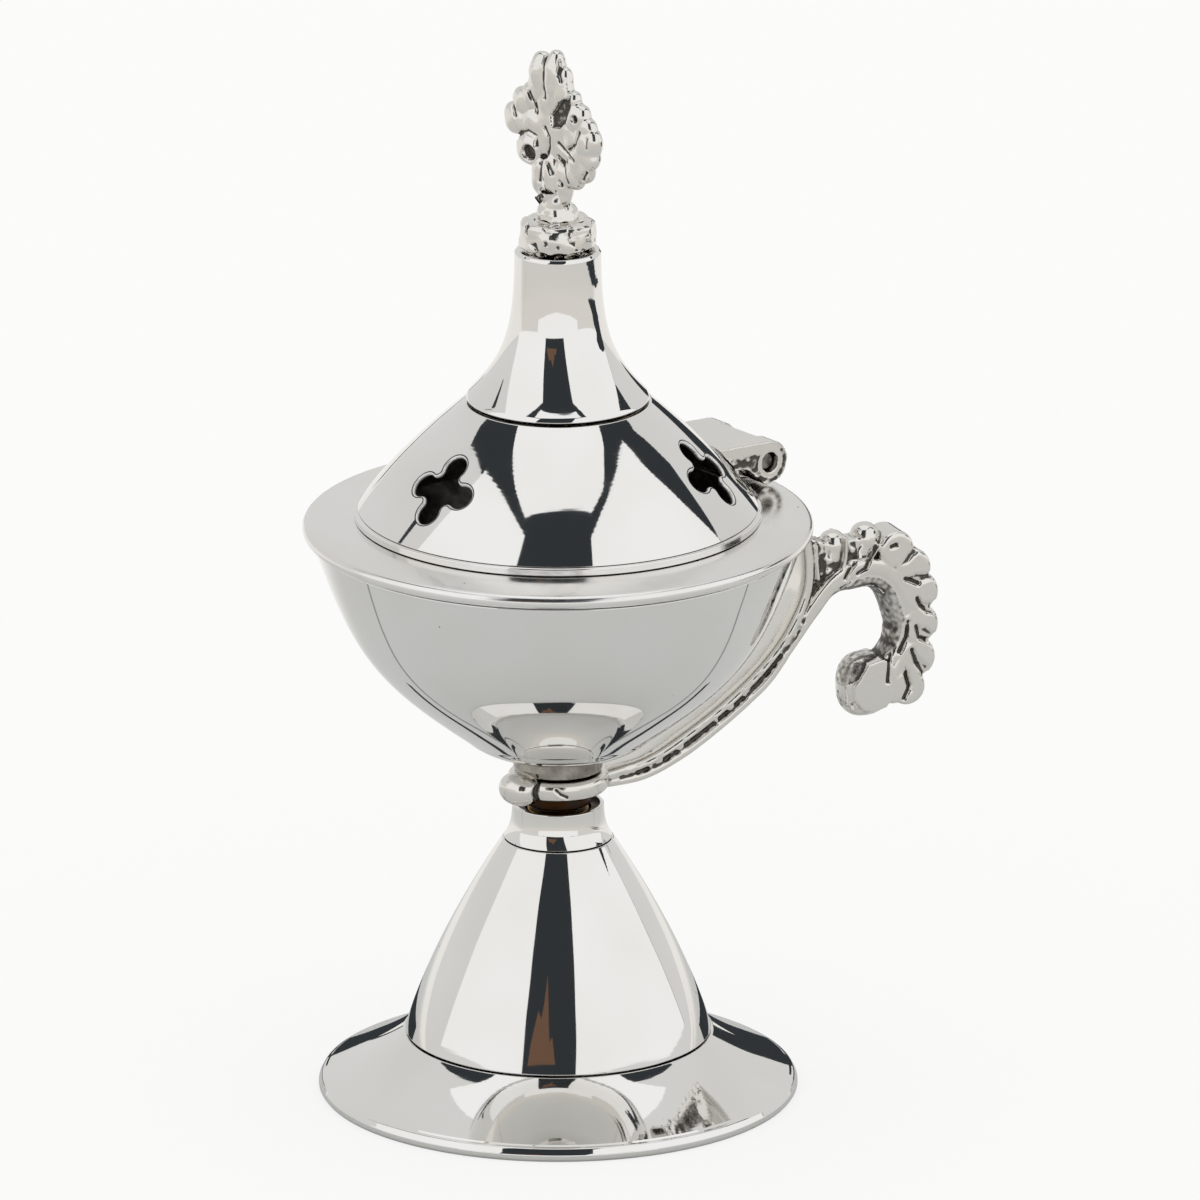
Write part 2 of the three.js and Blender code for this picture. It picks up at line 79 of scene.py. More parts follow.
# The cross as it was cast and chased, in millimetres from its middle: lobes (x, z, half width, half height,
# half depth)
CROSS_LOBES = [
    (0, 0, 5.2, 5.0, 1.25), (0, 5, 3.6, 4.0, 1.3), (-2.6, 8.3, 2.3, 4.1, 1.5), (0.5, 9.0, 1.8, 4.15, 1.7),
    (2.3, 6.9, 1.9, 3.9, 1.4), (-4.5, 0.4, 3.0, 3.0, 1.3), (-7.8, 0.4, 2.9, 2.6, 1.5),
    (-6.4, 3.4, 2.5, 2.4, 1.4), (-4.5, 4.9, 1.9, 2.4, 1.4), (-3.4, 6.2, 2.2, 2.4, 1.3),
    (4.3, 5.6, 1.7, 1.8, 1.3), (7.2, 1.6, 2.2, 2.2, 1.4), (7.7, -2.4, 2.4, 2.4, 1.4),
    (-4.9, -3.9, 3.0, 2.6, 1.6), (4.5, -0.6, 3.0, 3.4, 1.2), (5.6, 3.3, 2.4, 2.4, 1.6),
    (7.7, -0.4, 2.7, 2.7, 1.6), (6.3, -3.9, 2.8, 3.3, 1.4), (4.5, -6.2, 2.3, 2.3, 1.3),
    (-2.5, -8.1, 1.9, 3.9, 1.4), (0, -8.0, 2.0, 5.0, 1.7), (2.2, -7.9, 1.8, 3.9, 1.4),
]
CROSS_LINES = [
    [(-1.0, 11.9), (-1.1, 9.0), (-0.9, 5.4)], [(2.1, 12.2), (2.2, 10.0), (2.8, 8.8)],
    [(-8.4, 3.2), (-7.2, 1.2)], [(-4.2, 5.6), (-3.4, 4.2), (-2.9, 2.6)],
    [(-7.6, -2.7), (-6.4, -1.5), (-4.6, -0.8), (-2.9, -1.4), (-2.8, -2.8)],
    [(-0.9, 0.5), (0.1, -0.8), (-0.1, -2.5), (-0.6, -4.0), (-1.8, -4.5)], [(-1.7, -5.4), (-1.9, -8.2)],
    [(-1.0, -8.0), (-0.3, -10.2)], [(0.1, -5.2), (1.0, -6.5)], [(1.9, -3.7), (3.6, -5.2), (4.3, -7.3)],
    [(2.1, -1.4), (3.7, -2.6), (5.6, -3.4)], [(8.8, 0.7), (8.8, -0.7)], [(8.3, -5.0), (7.5, -6.3)],
    [(2.6, -7.6), (2.9, -8.0)], [(4.3, -2.0), (6.2, -0.6), (7.0, 1.4)],
]
# Pits with a round mouth, and one leaf-shaped hollow
CROSS_PITS = [(-4.3, -4.3, 1.3), (6.0, 3.4, 0.6), (2.8, -7.9, 0.4), (-1.6, -11.0, 0.4)]
CROSS_HOLLOW = [(4.9, 7.2), (2.0, 5.2), (0.2, 2.8), (0.7, 0.6), (2.5, 0.9), (4.4, 2.9), (5.1, 5.4)]
CROSS_LEAN = np.array([-0.55, 0.24, 0.0])
PIERCING_TURN, PIERCING_TILT = math.radians(78.4), math.radians(45.8)
PIERCING_X, PIERCING_Z = 24.5, 103.5
FILED_RADIUS, FILED_STEPS = 0.5, 5  # the rounded edge of a piercing
DOME_CURVE = [(31.4, 95.6), (25.4, 103.8), (14.6, 113.1)]
DOME_MEAN_RADIUS = 24.0
WALL = 0.9
ON_AXIS = 1e-6  # a point nearer than this to the turning axis is on it
SHARP = math.radians(2)  # a profile that turns less than this needs no arc
HANDLE_VOXEL, HINGE_VOXEL, FINIAL_VOXEL = 0.2, 0.16, 0.13  # facets of the castings' skins
# Lumps that the sand leaves: two sizes in millimetres, the weight of each, and how much of them stays where
# the wheel has been
LARGE_LUMP, SMALL_LUMP, LUMP_SHARE, POLISHED_SHARE = 2.4, 0.8, 0.6, 0.12
HOLLOW_ROUNDS, HOLLOW_DEPTH = 14, 0.12  # how wide and how deep a hollow counts as dark, for the painted shade in the castings' hollows
CAMERA_AIM = (-6.69, -2.68, 80.2)  # the point that lands in the middle of the picture
# How the tool's rings lie: the radius in metres that they are wound on, and their slant with the radius
LATHE_RADIUS, LATHE_SLANT = 0.0016, -0.7

# Plated finishes: material, base colour, aged colour, roughness, depth of the spinning rings in metres, soot
PLATED = {
    "bright": ("bright_nickel_plate_on_spun_brass", "nickel", "nickel_shade", 0.025, 0.0000012),
    # the flat of the rim, a little duller than the rest
    "buffed": ("buffed_nickel_plate_on_turned_brass", "nickel", "nickel_shade", 0.12, 0.000003),
    # the drum, which the wheel never reached under the bowl
    "sooty": ("sooty_nickel_plate_on_turned_brass", "satin", "nickel_shade", 0.1, 0.000006, 0.8),
    # the filed and rubbed edge of a piercing, bright all round
    "filed": ("filed_nickel_edge", "nickel", "nickel", 0.34, 0.000002),
    # the inside of the bowl, the lid and the foot, dull and clouded with smoke
    "satin": ("smoked_nickel_plate_inside", "satin", "nickel_shade", 0.26, 0.00002, 1.0),
}
# Finishes without plate: material, base colour, tarnish and roughness
BARE = {
    # a matt dark line in the corner beside a filed edge
    "residue": ("dried_polish_on_nickel", "polish_and_painted_shade", "polish_and_painted_shade", 0.5),
    "brass": ("turned_brass", "brass", "soot", 0.28),
    # brown brass darkened as painted shade, seen only in the gap above the foot's collar
    "smoked": ("brass_darkened_as_painted_shade", "gap_shade_brass", "polish_and_painted_shade", 0.36),
    "steel": ("pressed_steel", "steel", "soot", 0.32),
}


# Settings


def linear(hex_colour):
    """An sRGB hex colour as linear red, green and blue."""
    channels = [int(hex_colour[i : i + 2], 16) / 255 for i in (1, 3, 5)]
    return tuple(c / 12.92 if c <= 0.04045 else ((c + 0.055) / 1.055) ** 2.4 for c in channels)


def colour_setting(name, description, hex_colour):
    return bpy.props.FloatVectorProperty(
        name=name, description=description, subtype="COLOR", size=3, min=0, max=1, default=linear(hex_colour)
    )


def length_setting(name, description, default):
    return bpy.props.FloatProperty(name=name, description=description, default=default, unit="LENGTH")


def angle_setting(name, description, degrees):
    return bpy.props.FloatProperty(
        name=name, description=description, default=math.radians(degrees), subtype="ANGLE"
    )


class CenserSizes(bpy.types.PropertyGroup):
    foot_across: length_setting("Foot across", "Diameter of the foot", FOOT_ACROSS)
    rim_across: length_setting("Rim across", "Diameter of the bowl's rim", RIM_ACROSS)
    lid_across: length_setting("Lid across", "Diameter of the lid's flat edge", LID_ACROSS)
    edge: length_setting("Edge", "Radius that the polishing leaves on a turned edge", 0.0003)
    casting_grain: length_setting("Casting grain", "Height of the lumps that the sand leaves", 0.00007)
    around: bpy.props.IntProperty(
        name="Facets around", description="Facets round each turned piece", default=240, min=48, max=480
    )


class CenserFinishes(bpy.types.PropertyGroup):
    nickel: colour_setting("Nickel", "Bright nickel plate", "#ecebe9")
    nickel_shade: colour_setting("Nickel shade", "Nickel plate where it has yellowed a little", "#e2dfd9")
    satin: colour_setting("Satin nickel", "Nickel plate left dull on the inside", "#a8a298")
    soot: colour_setting("Soot", "The stain that smoke leaves", "#453d36")
    cast: colour_setting("Cast nickel", "Nickel plate on the sand castings", "#e5e3df")
    # a dark for dried polish and tarnish, also used as painted shade in the castings' hollows
    polish_and_painted_shade: colour_setting("Recess", "Dark polish and tarnish left in the hollows", "#3d3833")
    brass: colour_setting("Brass", "Bare brass of the hidden fixings", "#b58a45")
    # brown brass darkened to stand in as painted shade in the gap above the collar
    gap_shade_brass: colour_setting("Smoked brass", "Brass that has gone brown beside the heat", "#3e2613")
    steel: colour_setting("Steel", "Bare steel of the dish and the pin", "#9a9894")


class CenserStudio(bpy.types.PropertyGroup):
    azimuth: angle_setting("Azimuth", "Where the camera stands round the censer", -24)
    elevation: angle_setting("Elevation", "How far above it the camera stands", 17.9)
    distance: length_setting("Distance", "From the camera to the censer", 4.0)
    pixel: length_setting("Pixel", "Size on the censer of one pixel of the picture", 0.1566 * MM)
    reach: length_setting("Height of the screens", "Height of the white screens above the bowl", 1.2)
    screen: colour_setting("Screens", "The white screens at both sides and overhead", "#ffffff")
    room: colour_setting("Room", "The dark room between the screens", "#34383b")
    wood: colour_setting("Wood", "The brown door at the far end of the room", "#705646")
    # painted shade: the grey that the metal sees near the censer, standing in for the shade on the paper
    paper: colour_setting("Paper", "The paper under the censer, as the metal reflects it", "#cfd0cf")
    far_paper: colour_setting("Far paper", "The same paper further off", "#e2dfda")
    back_paper: colour_setting("Back paper", "The sheet behind the foot", "#f6f4f1")
    joint: colour_setting("Joint", "The gap between the two sheets", "#46443f")
    floor: colour_setting("Floor", "The paper as the camera sees it", "#f2f1ef")
    backdrop: colour_setting("Backdrop", "What the metal reflects beyond the screens", "#dfdfde")
    white: colour_setting("White", "What the camera sees beyond the floor", "#ffffff")


# Materials


def add(tree, kind, settings=None, inputs=None):
    """Adds a node with its settings. An input is a value, or another node's output to link."""
    made = tree.nodes.new(kind)
    for name, value in (settings or {}).items():
        setattr(made, name, value)
    for name, value in (inputs or {}).items():
        if isinstance(value, bpy.types.NodeSocket):
            tree.links.new(value, made.inputs[name])
        else:
            made.inputs[name].default_value = value
    return made


def blank_material(name):
    """A material with an empty node tree, and that tree."""
    material = bpy.data.materials.get(name) or bpy.data.materials.new(name)
    material.use_nodes = True
    material.node_tree.nodes.clear()
    return material, material.node_tree


def rgba(colour):
    return (*colour, 1.0)


def calculate(tree, operation, *values):
    return add(tree, "ShaderNodeMath", {"operation": operation}, dict(enumerate(values))).outputs[0]


def vectors(tree, operation, *values, **named):
    """A calculation on vectors: its vector, and its plain number."""
    inputs = {**dict(enumerate(values)), **named}
    made = add(tree, "ShaderNodeVectorMath", {"operation": operation}, inputs)
    return made.outputs[0], made.outputs[1]


def speckle(tree, place, scale, detail, roughness=0.5):
    """Smooth noise. scale is how many of its lumps fit in a metre."""
    inputs = {"Vector": place, "Scale": scale, "Detail": detail, "Roughness": roughness}
    return add(tree, "ShaderNodeTexNoise", None, inputs).outputs[0]


def fade(tree, value, start, stop, low, high, kind="LINEAR"):
    """Goes from low to high while the value goes from start to stop."""
    inputs = {"Value": value, "From Min": start, "From Max": stop, "To Min": low, "To Max": high}
    return add(tree, "ShaderNodeMapRange", {"interpolation_type": kind}, inputs).outputs[0]


def mix(tree, factor, first, second):
    """Two colours mixed, each a setting or another node's output."""
    ends = [c if isinstance(c, bpy.types.NodeSocket) else rgba(c) for c in (first, second)]
    inputs = {"Factor": factor, 6: ends[0], 7: ends[1]}
    return add(tree, "ShaderNodeMix", {"data_type": "RGBA"}, inputs).outputs[2]


def bump(tree, distance, height, normal=None, strength=1.0, **settings):
    """Bumps of a height in metres, on top of those in normal."""
    inputs = {"Strength": strength, "Distance": distance, "Height": height}
    if normal is not None:
        inputs["Normal"] = normal
    return add(tree, "ShaderNodeBump", settings, inputs).outputs[0]


def surface(tree, shader, kind="ShaderNodeOutputMaterial"):
    """Ends a node tree with its output."""
    add(tree, kind, None, {"Surface": shader})


def metal(tree, colour, roughness, normal):
    """Ends a node tree as a bare metal."""
    inputs = {"Base Color": colour, "Metallic": 1.0, "Roughness": roughness, "Normal": normal}
    surface(tree, add(tree, "ShaderNodeBsdfPrincipled", None, inputs).outputs[0])


def coordinates(tree):
    """Places on the censer in metres, and the same measured from its turning axis."""
    place = add(tree, "ShaderNodeTexCoord").outputs["Object"]
    return place, vectors(tree, "SUBTRACT", place, (AXIS * MM, 0, 0))[0]


def turning_coordinates(tree):
    """Places, and coordinates that follow the lathe: short once round, and long along the profile."""
    place, from_axis = coordinates(tree)
    x, y, z = add(tree, "ShaderNodeSeparateXYZ", None, {0: from_axis}).outputs
    flat = add(tree, "ShaderNodeCombineXYZ", None, {"X": x, "Y": y}).outputs[0]
    radius = vectors(tree, "LENGTH", flat)[1]
    around = vectors(tree, "NORMALIZE", flat)[0]
    along = calculate(tree, "MULTIPLY_ADD", radius, LATHE_SLANT, z)
    lifted = add(tree, "ShaderNodeCombineXYZ", None, {"Z": along}).outputs[0]
    return place, vectors(tree, "ADD", vectors(tree, "SCALE", around, Scale=LATHE_RADIUS)[0], lifted)[0]


def polished_nickel(finishes, name, base, shade, roughness, ring_depth, stain=0.0):
    """Bright nickel plate on spun brass, buffed on the wheel.

    The eye sees a near mirror: faint rings from the spinning tool, slow waves in the sheet, pinholes in the
    plate, and a breath of yellow where the plate has aged.
    """
    material, tree = blank_material(name)
    place, turned_place = turning_coordinates(tree)
    waves = speckle(tree, place, 70.0, 1.0, 0.4)  # slow waves of the sheet, about 14 mm from one to the next
    rings = speckle(tree, turned_place, 1900.0, 0.0)  # spinning marks, about 0.5 mm apart
    haze = speckle(tree, place, 330.0, 4.0, 0.6)  # buffing haze, 3 mm across
    # pinholes of 0.3 mm in one cell of fourteen, in cells of 3 mm
    kind = {"feature": "F1", "distance": "EUCLIDEAN"}
    cells = add(tree, "ShaderNodeTexVoronoi", kind, {"Vector": place, "Scale": 330.0}).outputs
    near = fade(tree, cells["Distance"], 0.03, 0.07, 1.0, 0.0, "SMOOTHSTEP")
    draw = add(tree, "ShaderNodeSeparateColor", None, {0: cells["Color"]}).outputs[0]
    pinhole = calculate(tree, "MULTIPLY", near, calculate(tree, "GREATER_THAN", draw, 0.93))
    colour = mix(tree, fade(tree, waves, 0.35, 0.75, 0.0, 0.45), base, shade)
    if stain:
        colour = mix(tree, fade(tree, haze, 0.3, 0.75, 0.0, stain), colour, finishes.soot)
    colour = mix(tree, pinhole, colour, finishes.polish_and_painted_shade)
    hazy = fade(tree, haze, 0.3, 0.8, roughness, roughness * 2.2)
    rough = calculate(tree, "MULTIPLY_ADD", pinhole, 0.4, hazy)
    bumps = bump(tree, ring_depth, rings, bump(tree, 0.00012, waves))
    metal(tree, colour, rough, bump(tree, 0.00004, pinhole, bumps, invert=True))
    return material


def cast_nickel(finishes):
    """Nickel plate on sand-cast brass, buffed only where the wheel reaches.

    The eye sees bright worn ridges, and hollows that stay grainy and dark with polish and tarnish. The hollow
    attribute also paints shade into the hollows and onto sides turned from the light.
    """
    material, tree = blank_material("nickel_plate_on_sand_cast_brass")
    place = coordinates(tree)[0]
    hollow = add(tree, "ShaderNodeAttribute", {"attribute_name": "hollow"}).outputs["Fac"]
    grain = speckle(tree, place, 2400.0, 3.0, 0.6)  # sand grain of about 0.4 mm
    blotch = speckle(tree, place, 480.0, 4.0, 0.6)  # blotches of tarnish of 2 mm
    # painted shade: the hollow attribute darkens hollows, grooves and shaded sides towards the dark, with
    # blotches of tarnish
    uneven = calculate(tree, "MULTIPLY_ADD", blotch, 0.25, hollow)
    painted_shade_and_tarnish = fade(tree, uneven, 0.3, 0.83, 0.0, 0.92, "SMOOTHSTEP")
    colour = mix(tree, painted_shade_and_tarnish, mix(tree, blotch, finishes.cast, finishes.nickel_shade), finishes.polish_and_painted_shade)
    grainy = calculate(tree, "MULTIPLY", grain, painted_shade_and_tarnish)
    bumps = bump(tree, 0.00009, grainy, bump(tree, 0.000015, blotch))
    metal(tree, colour, fade(tree, painted_shade_and_tarnish, 0.0, 1.0, 0.13, 0.5), bumps)
    return material


def machined_metal(name, base, tarnish, roughness):
    """Bar or sheet metal as it leaves the lathe, never plated.

    The eye sees fine tool rings and a patchy film of tarnish.
    """
    material, tree = blank_material(name)
    place, turned_place = turning_coordinates(tree)
    rings = speckle(tree, turned_place, 4000.0, 1.0)  # tool rings, 0.25 mm apart
    patches = speckle(tree, place, 420.0, 5.0, 0.65)  # patches of tarnish, 2.4 mm across
    film = fade(tree, patches, 0.4, 0.7, 0.0, 0.8, "SMOOTHSTEP")
    rough = fade(tree, film, 0.0, 1.0, roughness, roughness + 0.25)
    metal(tree, mix(tree, film, base, tarnish), rough, bump(tree, 0.00002, rings))
    return material


def finish(kind):
    """The material of one finish, built from the settings."""
    finishes = bpy.context.scene.censer_finishes
    if kind == "cast":
        return cast_nickel(finishes)
    if kind in PLATED:
        name, base, shade, *rest = PLATED[kind]
        return polished_nickel(finishes, name, getattr(finishes, base), getattr(finishes, shade), *rest)
    name, base, tarnish, roughness = BARE[kind]
    return machined_metal(name, getattr(finishes, base), getattr(finishes, tarnish), roughness)


# Mesh helpers, all in millimetres


def bezier(points, count):
    """Points along a Bezier curve, both ends included."""
    t = np.linspace(0, 1, count + 1)[:, None]
    order = len(points) - 1
    weights = (math.comb(order, k) * (1 - t) ** (order - k) * t**k for k in range(order + 1))
    return sum(weight * np.array(p) for weight, p in zip(weights, points))


def rows(points, ends=(0.0, 0.0)):
    """Profile rows (radius, z, rounding) for points along a smooth curve. Its two ends may be rounded."""
    made = [[r, z, 0.0] for r, z in points]
    made[0][2], made[-1][2] = ends
    return made


def tangents_of(path):
    """Unit directions along a path."""
    along = np.gradient(path, axis=0)
    return along / np.linalg.norm(along, axis=1)[:, None]


def beside(path, distance):
    """A plane path moved to the left of the way it runs."""
    along = tangents_of(path)
    return path + np.stack([-along[:, 1], along[:, 0]], 1) * distance


def rounded(profile, steps=5):
    """A closed counter-clockwise profile with its corners turned to arcs: points, outward normals and the
    row that each point comes from."""
    points, normals, origins = [], [], []
    place = np.array([(r, z) for r, z, _ in profile], float)
    for i, (_, _, rounding) in enumerate(profile):
        on_axis = place[i][0] < ON_AXIS
        before, here, after = place[i - 1], place[i], place[(i + 1) % len(profile)]
        if on_axis and before[0] < ON_AXIS:
            before = np.array([-after[0], after[1]])
        if on_axis and after[0] < ON_AXIS:
            after = np.array([-before[0], before[1]])
        first, second = here - before, after - here
        lengths = np.linalg.norm(first), np.linalg.norm(second)
        first, second = first / lengths[0], second / lengths[1]
        turn = math.atan2(first[0] * second[1] - first[1] * second[0], first @ second)
        start = math.atan2(-first[0], first[1])
        if on_axis or rounding <= 0 or abs(turn) < SHARP:
            normal = start + turn / 2
            points.append(here)
            normals.append((math.cos(normal), math.sin(normal)))
            origins.append(i)
            continue
        trim = min(rounding * math.tan(abs(turn) / 2), 0.45 * min(lengths))
        radius = trim / math.tan(abs(turn) / 2)
        side = math.copysign(1, turn)
        outward = np.array([math.cos(start), math.sin(start)])
        centre = here - first * trim - side * radius * outward
        for step in range(steps + 1):
            angle = start + turn * step / steps
            outward = np.array([math.cos(angle), math.sin(angle)])
            points.append(centre + side * radius * outward)
            normals.append(tuple(outward))
            origins.append(i)
    return np.array(points), np.array(normals), np.array(origins)


def revolve(points, normals, around, closed=True):
    """Points, faces, vertex normals and each face's profile row of a turned body."""
    here = np.arange(around)
    turn = (here + 1) % around
    angles = here * 2 * math.pi / around
    cos, sin = np.cos(angles), np.sin(angles)
    vertices, directions, starts = [], [], [0]
    for (radius, z), (out, up) in zip(points, normals):
        if radius < ON_AXIS:
            vertices.append([[0, 0, z]])
            directions.append([[0, 0, math.copysign(1, up)]])
        else:
            vertices.append(np.stack([radius * cos, radius * sin, np.full(around, z)], 1))
            directions.append(np.stack([out * cos, out * sin, np.full(around, up)], 1))
        starts.append(starts[-1] + len(vertices[-1]))
    faces, face_rows = [], []
    count = len(points)
    for row in range(count if closed else count - 1):
        after = (row + 1) % count
        ring, next_ring = points[row][0] >= ON_AXIS, points[after][0] >= ON_AXIS
        if not (ring or next_ring):
            continue
        corners = [starts[row] + here * ring, starts[row] + turn * ring]
        corners += [starts[after] + turn * next_ring, starts[after] + here * next_ring]
        if not next_ring:
            del corners[3]
        elif not ring:
            del corners[1]
        faces += [tuple(f) for f in np.stack(corners, 1).tolist()]
        face_rows += [row] * around
    return np.concatenate(vertices), faces, np.concatenate(directions), np.array(face_rows)


def wound(vertices, faces, normals):
    """The same faces, each turned to the side that its vertex normals show."""
    fixed = list(faces)
    lengths = np.array([len(face) for face in faces])
    for length in np.unique(lengths):
        places = np.nonzero(lengths == length)[0]
        group = np.array([faces[k] for k in places])
        wrong = (across(vertices[group]) * normals[group].sum(1)).sum(1) < 0
        for k in np.nonzero(wrong)[0]:
            fixed[places[k]] = tuple(reversed(faces[places[k]]))
    return fixed


def across(corner):
    """A direction across each face, as long as its diagonals are."""
    return np.cross(corner[:, 2] - corner[:, 0], corner[:, -1] - corner[:, 1])


def mesh_piece(
    name, vertices, faces, finishes, body, slot, nodes, normals=None, face_materials=None, hollow=None
):
    """Makes a shown piece in metres, at its place in the frame, riding on its body."""
    mesh = bpy.data.meshes.new(name)
    placed = (np.asarray(vertices) + (AXIS, 0, 0)) * MM
    mesh.from_pydata(placed.tolist(), [], [tuple(int(k) for k in face) for face in faces])
    mesh.shade_smooth()
    if face_materials is not None:
        mesh.polygons.foreach_set("material_index", np.asarray(face_materials, np.int32))
    if normals is not None:
        unit = normals / np.maximum(np.linalg.norm(normals, axis=1), 1e-9)[:, None]
        mesh.normals_split_custom_set_from_vertices(unit.tolist())
    if hollow is not None:
        attribute = mesh.attributes.new("hollow", "FLOAT", "POINT")
        attribute.data.foreach_set("value", np.asarray(hollow, np.float32))
    for kind in finishes:
        mesh.materials.append(finish(kind))
    mesh.update()
    piece = bpy.data.objects.new(name, mesh)
    bpy.context.scene.collection.objects.link(piece)
    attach(piece, body)
    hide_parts(*nodes)
    return piece


def turned_piece(
    name, outer, inner, body, nodes, finishes, scale=1.0, slot="polished_nickel", steps=5, around=None
):
    """A turned piece. Faces from the inner rows of its profile take the second finish."""
    points, normals, origins = rounded([*outer, *inner], steps)
    points[:, 0] *= scale
    around = around or bpy.context.scene.censer_sizes.around
    vertices, faces, directions, face_rows = revolve(points, normals, around)
    faces = wound(vertices, faces, directions)
    second = (origins[face_rows] >= len(outer)).astype(int)
    return mesh_piece(name, vertices, faces, finishes, body, slot, nodes, directions, second)


def catmull(points, count):
    """Evenly spaced points on a smooth curve through the given points, and its tangents."""
    given = np.array(points, float)
    padded = np.vstack([2 * given[0] - given[1], given, 2 * given[-1] - given[-2]])
    dense = []
    for a, b, c, d in zip(padded, padded[1:], padded[2:], padded[3:]):
        gaps = (np.linalg.norm(q - p) ** 0.5 for p, q in ((a, b), (b, c), (c, d)))
        k0, k1, k2, k3 = np.cumsum([0.0, *gaps])
        t = np.linspace(k1, k2, 24, endpoint=False)[:, None]
        ab = ((k1 - t) * a + (t - k0) * b) / (k1 - k0)
        bc = ((k2 - t) * b + (t - k1) * c) / (k2 - k1)
        cd = ((k3 - t) * c + (t - k2) * d) / (k3 - k2)
        abc = ((k2 - t) * ab + (t - k0) * bc) / (k2 - k0)
        bcd = ((k3 - t) * bc + (t - k1) * cd) / (k3 - k1)
        dense.append(((k2 - t) * abc + (t - k1) * bcd) / (k2 - k1))
    dense = np.vstack([*dense, given[-1:]])
    run = run_of(dense)
    even = np.linspace(0, run[-1], count)
    path = np.stack([np.interp(even, run, dense[:, k]) for k in range(dense.shape[1])], 1)
    return path, tangents_of(path)


def run_of(path):
    """Distance along a path at each of its points."""
    return np.concatenate([[0], np.cumsum(np.linalg.norm(np.diff(path, axis=0), axis=1))])


def capped(loops, first, last):
    """A closed solid: quads between the loops, and a fan to a middle point at each end."""
    sides, total = len(loops[0]), len(loops) * len(loops[0])
    end = total - sides
    faces = []
    for start in range(0, end, sides):
        for k in range(sides):
            a, b = start + k, start + (k + 1) % sides
            faces.append((a, b, b + sides, a + sides))
    for k in range(sides):
        faces.append((total, (k + 1) % sides, k))
        faces.append((total + 1, end + k, end + (k + 1) % sides))
    return np.concatenate([*loops, [first, last]]), faces


def bar(path, tangents, section):
    """A closed bar along a path in the XZ plane. section(share) gives a loop of (outward, sideways)."""
    loops = []
    for i, ((x, z), (along_x, along_z)) in enumerate(zip(path, tangents)):
        outward, sideways = section(i / (len(path) - 1)).T
        loops.append(np.stack([x + along_z * outward, sideways, z - along_x * outward], 1))
    return capped(loops, loops[0].mean(0), loops[-1].mean(0))


def oval(half_thickness, half_width, power=2.0, count=28):
    """A loop of (outward, sideways) between an ellipse, power 2, and a rectangle, a high power."""
    angle = np.arange(count) * 2 * math.pi / count
    ends = zip((half_thickness, half_width), (np.cos(angle), np.sin(angle)))
    return np.stack([half * np.sign(way) * np.abs(way) ** (2 / power) for half, way in ends], 1)


def egg(half_x, half_y, half_z, power=2.0, around=28, down=18):
    """A closed ellipsoid, squarer with a higher power."""
    turn = np.arange(around) * 2 * math.pi / around
    loops = []
    for tilt in (math.pi * row / down for row in range(1, down)):
        flat = math.sin(tilt)
        p = np.stack([flat * np.cos(turn), flat * np.sin(turn), np.full(around, math.cos(tilt))], 1)
        loops.append(p / (np.abs(p) ** power).sum(1, keepdims=True) ** (1 / power) * (half_x, half_y, half_z))
    return capped(loops, (0, 0, half_z), (0, 0, -half_z))


def pebble(half_x, half_z, half_y, edge, around=40, steps=4):
    """A flat oval pad in the XZ plane, its rim rounded."""
    turn = np.arange(around) * 2 * math.pi / around
    bends = [math.pi / 2 * k / steps for k in range(steps + 1)]
    levels = [(edge * (1 - math.sin(b)), half_y - edge * (1 - math.cos(b))) for b in bends]
    levels += [(inset, -y) for inset, y in reversed(levels)]
    loops = [
        np.stack([(half_x - inset) * np.cos(turn), np.full(around, y), (half_z - inset) * np.sin(turn)], 1)
        for inset, y in levels
    ]
    return capped(loops, (0, half_y, 0), (0, -half_y, 0))


def slab(outline, from_y, to_y):
    """A closed prism: an outline in XZ, drawn out along Y."""
    count = len(outline)
    vertices = [(x, y, z) for y in (from_y, to_y) for x, z in outline]
    faces = [tuple(range(count)), tuple(range(2 * count - 1, count - 1, -1))]
    faces += [(k, k + count, (k + 1) % count + count, (k + 1) % count) for k in range(count)]
    return np.array(vertices, float), faces


def turned_solid(profile, around=96):
    """A plain turned body, used to cut or to fill."""
    points, normals, _ = rounded(rows(profile))
    vertices, faces, directions, _ = revolve(points, normals, around, profile[0][0] > 0)
    return vertices, wound(vertices, faces, directions)


def arc(radius, start, stop, count, centre=(0, 0)):
    """Points along an arc, both ends included."""
    angles = np.linspace(start, stop, count + 1)
    return [(centre[0] + radius * math.cos(a), centre[1] + radius * math.sin(a)) for a in angles]


def moved(solid, shift=(0, 0, 0), turn_y=0.0, turn_z=0.0):
    """A solid turned about Y, then about Z, then shifted."""
    x, y, z = np.array(solid[0], float).T
    cos, sin = math.cos(turn_y), math.sin(turn_y)
    x, z = cos * x + sin * z, -sin * x + cos * z
    cos, sin = math.cos(turn_z), math.sin(turn_z)
    return np.stack([cos * x - sin * y, sin * x + cos * y, z], 1) + np.array(shift, float), solid[1]


def joined(solids):
    """Several solids as one list of points and faces."""
    vertices, faces, total = [], [], 0
    for v, f in solids:
        vertices.append(v)
        faces += [tuple(k + total for k in face) for face in f]
        total += len(v)
    return np.concatenate(vertices), faces


def scratch_object(name, solid):
    """An object outside the scene's pieces, to run modifiers on."""
    mesh = bpy.data.meshes.new(name)
    mesh.from_pydata(np.asarray(solid[0]).tolist(), [], [tuple(int(k) for k in face) for face in solid[1]])
    work = bmesh.new()
    work.from_mesh(mesh)
    bmesh.ops.recalc_face_normals(work, faces=work.faces)
    work.to_mesh(mesh)
    work.free()
    made = bpy.data.objects.new(name, mesh)
    bpy.context.scene.collection.objects.link(made)
    return made


